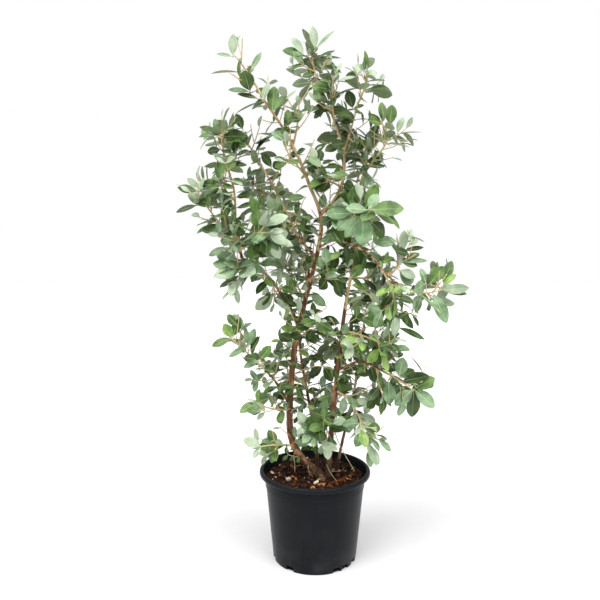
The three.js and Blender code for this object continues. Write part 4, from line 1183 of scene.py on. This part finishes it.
def plan_leader_twigs():
    """A short twig from the nearest wood to each leading node."""
    shoots = []
    for name, node, _ in leading:
        routes = [twig for row, _, twigs in masses if row[0] == name for twig, *_ in twigs]
        routes += [route for route, *_ in limbs.values()]
        spots = [route.at(share) for route in routes for share in np.linspace(0, 1, LEADER_TRIES)]
        start = min(spots, key=lambda spot: np.linalg.norm(spot - node))
        length = np.linalg.norm(node - start)
        if length > LEADER_NEAR:
            middle = (start + node) / 2 - UP * LEADER_SAG * length
            shoots.append((bowed(start, middle, node), SHOOT_FOOT, SHOOT_TIP))
    return shoots


def make_twigs():
    vertices, faces = [], []
    of_masses = [twig[:3] for _, _, twigs in masses for twig in twigs]
    for route, foot, tip in of_masses + plan_leader_twigs():
        add_tube(vertices, faces, route, twig_radius(route, foot, tip), TWIG_SIDES, TWIG_STEP)
    return vertices, faces


# Young feijoa wood: smooth tan skin under a thin pale down, browner in patches 6 mm long.
young_wood = mottled("downy_young_wood", "#b3925c", "#ecd8a8", 6 * MM, 4, (0.3, 0.2 * MM),
                     IOR=1.45, Roughness=0.7)
foliage_nodes = [f"foliage_{row[0]}" for row in MASSES]
twigs_piece = add_piece("twigs", *make_twigs(), [young_wood])
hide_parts(*foliage_nodes)

# Bare twigs: thin wandering shoots of last year that lost their leaves, dry and straw coloured.
# Each is a radius at its foot and its bends in millimetres; it starts on a stem or a bough.
BARE_TWIGS = (
    (1.4, ((-44, -8, 424), (-23, -24, 437), (5, -34, 446), (31, -38, 441), (46, -34, 432))),
    (1.3, ((94, -50, 612), (110, -62, 606), (125, -74, 576), (127, -80, 543), (104, -84, 508),
           (86, -80, 481))),
    (1.0, ((98, -78, 540), (94, -84, 522), (103, -84, 508))),
    (1.1, ((-33, 2, 578), (-30, -22, 559), (-19, -42, 533), (-12, -54, 509))),
    (1.1, ((40, -28, 306), (51, -50, 279), (64, -62, 256), (74, -68, 240), (84, -70, 224))),
    (0.9, ((25, -24, 222), (34, -46, 209), (46, -60, 197))),
    (0.9, ((-38, -28, 262), (-47, -44, 250), (-45, -50, 232), (-45, -54, 214))),
    (0.9, ((-12, -28, 222), (-16, -42, 224), (-13, -48, 208))),
    (1.1, ((52, -36, 470), (68, -46, 452), (79, -60, 444), (83, -70, 430), (79, -76, 404))),
)
BARE_TIP = 0.55 * MM
BARE_STEP = 3 * MM


def make_bare_twigs():
    vertices, faces = [], []
    for foot, path in BARE_TWIGS:
        route = through(millimetres(*path))
        add_tube(vertices, faces, route, twig_radius(route, foot * MM, BARE_TIP), TWIG_SIDES, BARE_STEP)
    return vertices, faces


# Dry twig bark: matt straw and grey brown, in patches 8 mm long.
dry_wood = mottled("dry_straw_wood", "#9a7f5c", "#d8c8a2", 8 * MM, 4, IOR=1.45, Roughness=0.85)
bare_twigs = add_piece("bare_twigs", *make_bare_twigs(), [dry_wood])

# Leaves: opposite pairs, each turned a quarter from the last, with a short stalk and a blunt tip.
# A blade is leathery and 0.5 mm thick, satin above and felted below, and it arches along its rib.
LEAF_LENGTH = 55 * MM
LEAF_WIDTH = 0.5
LEAF_THICKNESS = 0.5 * MM
STALK_SHARE = 0.09
STALK_RADIUS = 0.8 * MM
RIB_RADIUS = 0.55 * MM
LEAF_SEED = 90001
LEAF_SEED_STEP = 31
FIRST_PAIR = 13 * MM
OWN_STEM_BARE = 26 * MM
TIP_BARE = 9 * MM
BELOW_TIP = 2 * MM
PAIR_SHIFT = (-0.15, 0.15)
PAIR_SWAY = (-0.3, 0.3)
# Each kind of pair: size, angle off the twig in degrees, greatest roll, breadth and greatest droop.
PAIR_KINDS = {
    "side": (1.0, 58, 0.75, 1.0, 0.5),
    "tip": (0.88, 38, 0.4, 1.0, 0.12),
    "bud": (0.5, 20, 0.4, 0.85, 0.12),
}
# Leaves turn to the light, which comes from outside, above and ahead of their twig. The pull
# outwards fades inside the least share of the crown's radius.
LIGHT_LEAST = 0.6
LIGHT_UP = 0.8
LIGHT_AHEAD = 0.3
# Painted shade: near the stems, inside this radius of this axis, twigs may take the dark inner tone.
PAINTED_SHADE_AXIS = np.array((12 * MM, 10 * MM, 0))
PAINTED_SHADE_RADIUS = 95 * MM
CROWN_AXIS = np.array((10 * MM, 70 * MM, 0))
CROWN_RADIUS = 200 * MM
LIMB_CLEARANCE = 2 * MM
LIMB_SPOT_STEP = 8 * MM
LEAF_APART = 10 * MM
LEAF_LIMIT = 6000
FAR_AWAY = 99.0
# How each leaf of the rule may differ: degrees off its pair's angle, length, breadth, arch and fold.
ANGLE_SPREAD = (-11, 11)
LENGTH_SPREAD = (0.74, 1.12)
BREADTH_SPREAD = (0.86, 1.14)
ARCH_SPREAD = (0.04, 0.42)
FOLD_SPREAD = (0.05, 0.55)
# Shares: silvery tip pairs, leaves in their twig's own shade, and twigs near the stems that take
# the inner tone, whose darker leaves are painted shade for the inside of the crown.
YOUNG_TIPS = 0.4
SAME_SHADE = 0.72
PAINTED_SHADE_SHARE = 0.6
LIMB_PAIR_SIZE = 0.92
SHADES = ("deep", "green", "sage", "fresh", "young")
# The share of each shade in a mass of each tone.
TONES = {
    "mixed": (0.27, 0.30, 0.33, 0.05, 0.05),
    "deep": (0.52, 0.30, 0.16, 0.0, 0.02),
    "sage": (0.15, 0.29, 0.50, 0.01, 0.05),
    "fresh": (0.13, 0.25, 0.16, 0.43, 0.03),
    # inner: painted shade, a darker mix for leaves near the stems, where the crown shades them.
    "inner": (0.62, 0.28, 0.10, 0.0, 0.0),
}
# Where the blade is cut across, as shares of its length from stalk to tip.
STATIONS = (0.0, 0.075, 0.15, 0.27, 0.45, 0.64, 0.8, 0.92, 0.975, 1.0)
# The blade's outline: how blunt it is, its width near the stalk, and how much wider its tip half is.
BLADE_BLUNT = 0.8
BLADE_STALK_END = 0.94
BLADE_TIP_WIDER = 0.14


def blade_half(share):
    """Half width of the blade over its greatest half width: a blunt ellipse on a thin stalk."""
    if share <= STALK_SHARE:
        return 0.0
    t = (share - STALK_SHARE) / (1 - STALK_SHARE)
    return (4 * t * (1 - t)) ** BLADE_BLUNT * (BLADE_STALK_END + BLADE_TIP_WIDER * t)


blade_halves = np.array([blade_half(share) for share in STATIONS])
limb_spots = []
for route, foot, tip, _ in limbs.values():
    for along in np.linspace(0, 1, max(2, round(route.length / LIMB_SPOT_STEP))):
        limb_spots.append((*route.at(along), foot + (tip - foot) * along))
limb_spots = np.array(limb_spots)
# The wood above 560 mm stays in sight from the front: no rule's leaf has its middle or its outer
# part in front of it within 6 mm of its line.
SHOWN_LIMBS = ("stem_left", "stem_right", "bough_leader_right", "bough_top_centre",
               "bough_middle_left")
SHOWN_STEP = 5 * MM
SHOWN_MARGIN = 6 * MM
SHOWN_FROM = 560 * MM
shown_spots = np.array([
    limbs[name][0].at(along) for name in SHOWN_LIMBS
    for along in np.linspace(0, 1, round(limbs[name][0].length / SHOWN_STEP))
])
shown_spots = shown_spots[shown_spots[:, 2] > SHOWN_FROM]


def lies_over(spots, point, apart, behind=0.0):
    """True where a point lies over one of the spots, seen from the front."""
    near = spots[spots[:, 1] > point[1] - behind]
    return bool(np.any(np.linalg.norm(near[:, (0, 2)] - point[(0, 2),], axis=1) < apart))


def hides_limb(point):
    return lies_over(shown_spots, point, SHOWN_MARGIN)


def touches_limb(point):
    away = np.linalg.norm(limb_spots[:, :3] - point, axis=1)
    return bool(np.any(away < limb_spots[:, 3] + LIMB_CLEARANCE))


FRONT = unit(np.array((0, -1, 0.45)))
LEADER_APART = 12 * MM
LEADER_ARCH = 0.14
LEADER_FOLD = 0.3
# The places along a leading leaf that the rule's leaves keep off.
LEADER_KEPT = (0.35, 0.7)
leader_spots = np.array([
    node + (tip - node) * share
    for _, node, tips in leading for tip, *_ in tips for share in LEADER_KEPT
])


def near_leader(point):
    """True where a leaf would lie on a leading leaf or hide it from the front."""
    return lies_over(leader_spots, point, LEADER_APART, LEADER_APART)


def leaves_space(point, start, end, reach):
    """True past the mass's space, which draws in towards its tip."""
    apart, share = off_chord(point, start, end)
    return apart > reach * (1 - TIP_TAPER * share)


def plan_pairs(twig, size, begin, draw):
    """Leaf pairs along a twig: root, heading, turn round it, wood radius, size and kind."""
    count = max(0, round((twig.length - begin) / PAIR_SPACING))
    walks = [begin + PAIR_SPACING * (i + draw.uniform(*PAIR_SHIFT)) for i in range(count)]
    walks = [w for w in walks if w < twig.length - TIP_BARE] + [twig.length - BELOW_TIP] * 2
    pairs = []
    for i, walk in enumerate(walks):
        along = max(0.0, walk / twig.length)
        kind = "bud" if i == len(walks) - 1 else "tip" if i == len(walks) - 2 else "side"
        turn = (i % 2) * math.pi / 2 + draw.uniform(*PAIR_SWAY)
        pairs.append((twig.at(along), twig.heading(along), turn, 0.0, size, kind))
    return pairs


def leaf_pair(pair, tone, shade, mass_size, draw):
    """The two leaves of a pair, each as shade, root, way, face, length, width, arch and fold."""
    root, heading, turn, radius, size, kind = pair
    share, angle, most_roll, broad, most_droop = PAIR_KINDS[kind]
    outer = (root - CROWN_AXIS) * (1, 1, 0) / CROWN_RADIUS
    light = outer / max(LIGHT_LEAST, np.linalg.norm(outer)) + LIGHT_UP * UP + LIGHT_AHEAD * heading
    young = kind == "bud" or (kind == "tip" and draw.random() < YOUNG_TIPS)
    leaves = []
    for side in (0, math.pi):
        outward = outward_at(heading, turn + side)
        way = lean(heading, outward, angle + draw.uniform(*ANGLE_SPREAD))
        way = unit(way - UP * draw.uniform(0, most_droop))
        length = LEAF_LENGTH * mass_size * share * size * draw.uniform(*LENGTH_SPREAD)
        face = unit(light - way * np.dot(light, way))
        roll = most_roll * draw.uniform(-1, 1)
        face = face * math.cos(roll) + np.cross(way, face) * math.sin(roll)
        own = shade if draw.random() < SAME_SHADE else draw.choices(SHADES, TONES[tone])[0]
        width = LEAF_WIDTH * broad * draw.uniform(*BREADTH_SPREAD)
        arch, fold = draw.uniform(*ARCH_SPREAD), draw.uniform(*FOLD_SPREAD)
        own = "young" if young else own
        leaves.append((own, root + outward * radius, way, face, length, width, arch, fold))
    return leaves


def plan_leading_leaves():
    """The leading leaves, in the same form as the leaves of a pair."""
    leaves = []
    for _, start, tips in leading:
        for tip, broad, turn, shade in tips:
            length = np.linalg.norm(tip - start)
            way = (tip - start) / length
            face = unit(FRONT - way * np.dot(FRONT, way))
            side = np.cross(way, face)
            side *= math.copysign(1, side[2])
            face = face * math.cos(math.radians(turn)) + side * math.sin(math.radians(turn))
            leaves.append((shade, start, way, face, length, broad, LEADER_ARCH, LEADER_FOLD))
    return leaves


def spot_on(leaf, along):
    """A place on the straight line from a leaf's root to its tip."""
    _, start, way, _, length, *_ = leaf
    return start + way * length * along


def has_room(leaf, space):
    """True where a leaf keeps to its mass's space and off the wood, openings and leading leaves."""
    middle, outer_part, end = (spot_on(leaf, along) for along in (0.5, 0.75, 1))
    if leaves_space(end, *space) or hides_limb(middle) or hides_limb(outer_part):
        return False
    return not any(touches_limb(spot) or in_opening(spot) or near_leader(spot) for spot in (middle, end))


def plan_leaves():
    """The leading leaves, then the rule's leaves of each mass wherever they have room."""
    leaves = plan_leading_leaves()
    middles = np.full((LEAF_LIMIT, 3), FAR_AWAY)
    middles[:len(leaves)] = [spot_on(leaf, 0.5) for leaf in leaves]

    def grow(pair, tone, shade, mass_size, space, draw):
        for leaf in leaf_pair(pair, tone, shade, mass_size, draw):
            middle = spot_on(leaf, 0.5)
            gaps = np.linalg.norm(middles[:len(leaves) + 1] - middle, axis=1)
            if has_room(leaf, space) and np.min(gaps) >= LEAF_APART:
                middles[len(leaves)] = middle
                leaves.append(leaf)

    for (row, seed, twigs), direct in zip(masses, limb_pairs):
        at, (reach, tone, mass_size) = row[2], row[7:]
        space = (twigs[0][0].at(0), twigs[0][0].at(1), reach * MM)
        for number, (twig, _, _, size) in enumerate(twigs):
            draw = random.Random(LEAF_SEED + seed * LEAF_SEED_STEP + number)
            begin = FIRST_PAIR if number or at == 1 else OWN_STEM_BARE
            # Painted shade: a twig near the stems mostly takes the darker inner tone.
            inner = np.linalg.norm((twig.at(0.5) - PAINTED_SHADE_AXIS)[:2]) < PAINTED_SHADE_RADIUS
            own_tone = "inner" if inner and draw.random() < PAINTED_SHADE_SHARE else tone
            shade = draw.choices(SHADES, TONES[own_tone])[0]
            for pair in plan_pairs(twig, size, begin, draw):
                grow(pair, own_tone, shade, mass_size, space, draw)
        draw = random.Random(LEAF_SEED - seed)
        for root, heading, turn, radius in direct:
            # Painted shade: leaf pairs on the limbs mostly take the darker inner tone.
            own_tone = "inner" if draw.random() < PAINTED_SHADE_SHARE else tone
            shade = draw.choices(SHADES, TONES[own_tone])[0]
            pair = (root, heading, turn, radius, LIMB_PAIR_SIZE, "side")
            grow(pair, own_tone, shade, mass_size, space, draw)
    return leaves


# Columns across a blade, from edge to edge: the two inner ones bound the midrib.
COLUMNS = (-1.0, -0.56, -0.001, 0.001, 0.56, 1.0)
# How a blade thins, arches and folds, and how its midrib stands out, as shares of its own sizes.
STALK_TAPER = 0.45
STALK_FLAT = 0.8
ARCH_SAG = 0.62
ARCH_SHORTER = 0.1
EDGE_FLATTER = 0.55
RIB_FOOT = 1.15
RIB_SHARE = 0.6
RIB_PROUD = 0.35 * MM


def blade_points(root, way, face, length, width, arch, fold):
    """Upper points, then the lower points of the inner columns, in rows from stalk to tip."""
    across = np.cross(face, way)
    upper, lower = [], []
    for share, half in zip(STATIONS, blade_halves):
        half_width = max(half * width * length / 2, STALK_RADIUS * (1 - STALK_TAPER * share))
        sag = arch * length * share**2 * ARCH_SAG
        reach = length * (share - ARCH_SHORTER * arch * share**2)
        row = []
        for column in COLUMNS:
            if abs(column) < 0.01:
                rib_half = min(RIB_RADIUS * (RIB_FOOT - share), half_width * RIB_SHARE)
                offset = math.copysign(rib_half, column)
            else:
                offset = half_width * column
            lift = fold * abs(offset) * (1 - EDGE_FLATTER * abs(offset) / half_width * abs(column))
            row.append(root + way * reach + across * offset + face * (lift - sag))
        upper.append(row)
        thick = LEAF_THICKNESS if half > 0 else 2 * STALK_RADIUS * STALK_FLAT
        rib = RIB_PROUD * (1 - share) if half > 0 else 0
        lower.append([p - face * (thick + (rib if 0 < k < 3 else 0)) for k, p in enumerate(row[1:-1])])
    return upper, lower


def make_leaves(leaves):
    """Vertices, faces, slots (0 upper, 1 under, 2 midrib), places on the blade and rim flags."""
    vertices, faces, slots, places, rim = [], [], [], [], []
    rows, wide = len(STATIONS), len(COLUMNS)
    for _, *shape in leaves:
        upper, lower = blade_points(*shape)
        start = len(vertices)
        for share, row, under in zip(STATIONS, upper, lower):
            vertices.extend(row)
            vertices.extend(under)
            places.extend((0.5 + column / 2, share) for column in COLUMNS)
            places.extend((0.5 + column / 2, share) for column in COLUMNS[1:-1])
            rim.extend([True] + [False] * (wide - 2) + [True] + [False] * (wide - 2))
        stride = 2 * wide - 2

        def top(row, column):
            return start + row * stride + column

        def bottom(row, column):
            return top(row, column) + (0 if column in (0, wide - 1) else wide - 1)

        for row in range(rows - 1):
            for column in range(wide - 1):
                faces.append(quad(top, row, row + 1, column))
                faces.append(quad(bottom, row, row + 1, column)[::-1])
                slots.extend((2 if column == 2 or row == 0 else 0, 1))
        for row, turn in ((0, 1), (rows - 1, -1)):
            ring = [top(row, c) for c in range(wide)] + [bottom(row, c) for c in range(wide - 2, 0, -1)]
            faces.append(ring[::turn])
            slots.append(1)
    return vertices, faces, slots, places, rim


def veined_blade(name, dark_hex, light_hex):
    """The upper face of one shade of leaf, with pale side veins that slant towards the tip."""
    material, tree, shader, place = start_material(name, IOR=1.45, Roughness=0.45)
    cloud = add_noise(tree, place, 24 * MM, 3)
    on_blade = add_node(tree, "ShaderNodeTexCoord").outputs["UV"]
    across, along, _ = add_node(tree, "ShaderNodeSeparateXYZ", links={"Vector": on_blade}).outputs
    off_rib = add_math(tree, "ABSOLUTE", add_math(tree, "SUBTRACT", across, 0.5))
    slanted = add_math(tree, "MULTIPLY_ADD", off_rib, VEIN_SLANT, along)
    wave = add_math(tree, "SINE", add_math(tree, "MULTIPLY", slanted, VEIN_PAIRS * 2 * math.pi))
    vein = add_range(tree, wave, 0.8, 1.0, 0.0, 0.13)
    body = add_mix(tree, add_range(tree, cloud, 0.36, 0.64), dark_hex, light_hex)
    tree.links.new(add_mix(tree, vein, body, VEIN_HEX), shader.inputs["Base Color"])
    add_bump(tree, shader, wave, 0.2, 0.3 * MM)
    return material


def felted_underside(name, dark_hex, light_hex):
    """The lower face of one shade of leaf."""
    return mottled(name, dark_hex, light_hex, 9 * MM, 5, (0.25, 0.2 * MM),
                   IOR=1.4, Roughness=0.88, Sheen_Weight=0.25, Sheen_Roughness=0.5)


# Leathery leaf blades: a waxy satin skin above, so gloss is soft, with side veins about 5 mm apart.
# Old leaves are deep green, leaves in shade sage, this year's fresh green, and the youngest silvery.
# Deep green is also painted shade, dealt out to leaves inside the crown.
VEIN_PAIRS = 10
VEIN_SLANT = -0.42
VEIN_HEX = "#b7c9a4"
# Each shade: dark and light of the skin above, dark and light of the felt below, and midrib.
BLADES = {
    "deep": ("#1c330a", "#456022", "#6c8158", "#93a27a", "#8b9f62"),
    "green": ("#355519", "#66873f", "#7b9065", "#a6b58c", "#a4b778"),
    "sage": ("#54744a", "#8daa7f", "#98a888", "#c1cbb0", "#b9c799"),
    "fresh": ("#668c3a", "#9dbd68", "#9fb57b", "#c3d0a0", "#c6d693"),
    "young": ("#8ba181", "#b3c2a5", "#9caa93", "#bfcab3", "#c3cdab"),
}
all_leaves = plan_leaves()
for shade, (dark_hex, light_hex, felt_dark, felt_light, rib_hex) in BLADES.items():
    chosen = [leaf for leaf in all_leaves if leaf[0] == shade]
    vertices, faces, slots, places, rim = make_leaves(chosen)
    finishes = [
        veined_blade(f"{shade}_blade", dark_hex, light_hex),
        felted_underside(f"{shade}_underside", felt_dark, felt_light),
        felted_underside(f"{shade}_midrib", rib_hex, felt_light),
    ]
    piece = add_piece(f"leaves_{shade}", vertices, faces, finishes, slots)
    mesh = piece.data
    corners = np.zeros(len(mesh.loops), np.int32)
    mesh.loops.foreach_get("vertex_index", corners)
    layer = mesh.uv_layers.new(name="blade")
    layer.data.foreach_set("uv", np.array(places)[corners].ravel())
    ends = np.zeros(len(mesh.edges) * 2, np.int32)
    mesh.edges.foreach_get("vertices", ends)
    on_rim = np.array(rim)[ends.reshape(-1, 2)].all(axis=1)
    mesh.attributes.new("sharp_edge", "BOOLEAN", "EDGE").data.foreach_set("value", on_rim)
    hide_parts(*foliage_nodes)

# Dry leaves: three old leaves that fell on the mix, tan and curled up at the edges.
# Each is a place on the mix and a length in millimetres, a turn in degrees and a tilt.
FALLEN_LEAVES = (
    ((34, 2), 30, 20, 0.35),
    ((24, -34), 26, -150, 0.2),
    ((-8, -8), 24, 100, 0.3),
)
FALLEN_RISE = 3 * MM
FALLEN_SLOPE = 0.25
# Breadth over length, arch and fold.
FALLEN_SHAPE = (0.48, 0.5, 0.9)


def plan_fallen_leaves():
    fallen = []
    for (x, y), length, turn, tilt in FALLEN_LEAVES:
        root = np.array((x * MM, y * MM, bed_height(x * MM, y * MM) + FALLEN_RISE))
        angle = math.radians(turn)
        way = unit(np.array((math.cos(angle), math.sin(angle), FALLEN_SLOPE)))
        face = unit(np.cross(way, np.array((-way[1], way[0], tilt))))
        fallen.append(("dry", root, way, face, length * MM, *FALLEN_SHAPE))
    return fallen


# Dead leaf: dry, papery and matt, tan with darker blotches.
dead_leaf = mottled("dead_leaf", "#7d6650", "#bda88c", 5 * MM, 4, IOR=1.4, Roughness=0.9)
vertices, faces, *_ = make_leaves(plan_fallen_leaves())
fallen_leaves = add_piece("fallen_leaves", vertices, faces, [dead_leaf])

# Floor: plain pale studio paper under and behind the pot. It is not part of the shrub.
FLOOR_RADIUS = 9.0
FLOOR_SIDES = 64
paper = mottled("pale_studio_paper", "#d6d6d6", "#d9d9d9", 40 * MM, 3,
                Roughness=0.95, Specular_IOR_Level=0.1)
floor_mesh = bpy.data.meshes.new("studio_floor")
angles = [2 * math.pi * k / FLOOR_SIDES for k in range(FLOOR_SIDES)]
rim = [(FLOOR_RADIUS * math.cos(angle), FLOOR_RADIUS * math.sin(angle), 0) for angle in angles]
floor_mesh.from_pydata(rim, [], [list(range(FLOOR_SIDES))])
floor_mesh.materials.append(paper)
studio_floor = bpy.data.objects.new("studio_floor", floor_mesh)
bpy.context.scene.collection.objects.link(studio_floor)

# Light: wide soft lights on the left and the right, in a white room that is brighter overhead.
# Each sun: name, strength and, in degrees, width, turn from the camera's side to the right, and rise.
SUNS = (
    ("key_light", 2.45, 44, -44, 56),
    ("fill_light", 1.85, 44, 50, 54),
)
ROOM_LOW = 0.25
ROOM_HIGH = 1.15
for name, strength, spread, azimuth, elevation in SUNS:
    sun_data = bpy.data.lights.new(name, "SUN")
    sun_data.energy = strength
    sun_data.angle = math.radians(spread)
    sun = bpy.data.objects.new(name, sun_data)
    turn, rise = math.radians(azimuth), math.radians(elevation)
    level = math.cos(rise)
    towards = Vector((math.sin(turn) * level, -math.cos(turn) * level, math.sin(rise)))
    sun.rotation_euler = towards.to_track_quat("Z", "Y").to_euler()
    bpy.context.scene.collection.objects.link(sun)
room = bpy.data.worlds.new("white_room")
bpy.context.scene.world = room
room.use_nodes = True
tree = room.node_tree
seen = add_node(tree, "ShaderNodeLightPath").outputs["Is Camera Ray"]
place = add_node(tree, "ShaderNodeTexCoord").outputs["Generated"]
height = add_node(tree, "ShaderNodeSeparateXYZ", links={"Vector": place}).outputs["Z"]
dome = add_range(tree, height, 0, 1, ROOM_LOW, ROOM_HIGH)
strength = add_node(tree, "ShaderNodeMix", {3: 1.0}, {0: seen, 2: dome})
background = tree.nodes["Background"]
background.inputs["Color"].default_value = (1, 1, 1, 1)
tree.links.new(strength.outputs[0], background.inputs["Strength"])
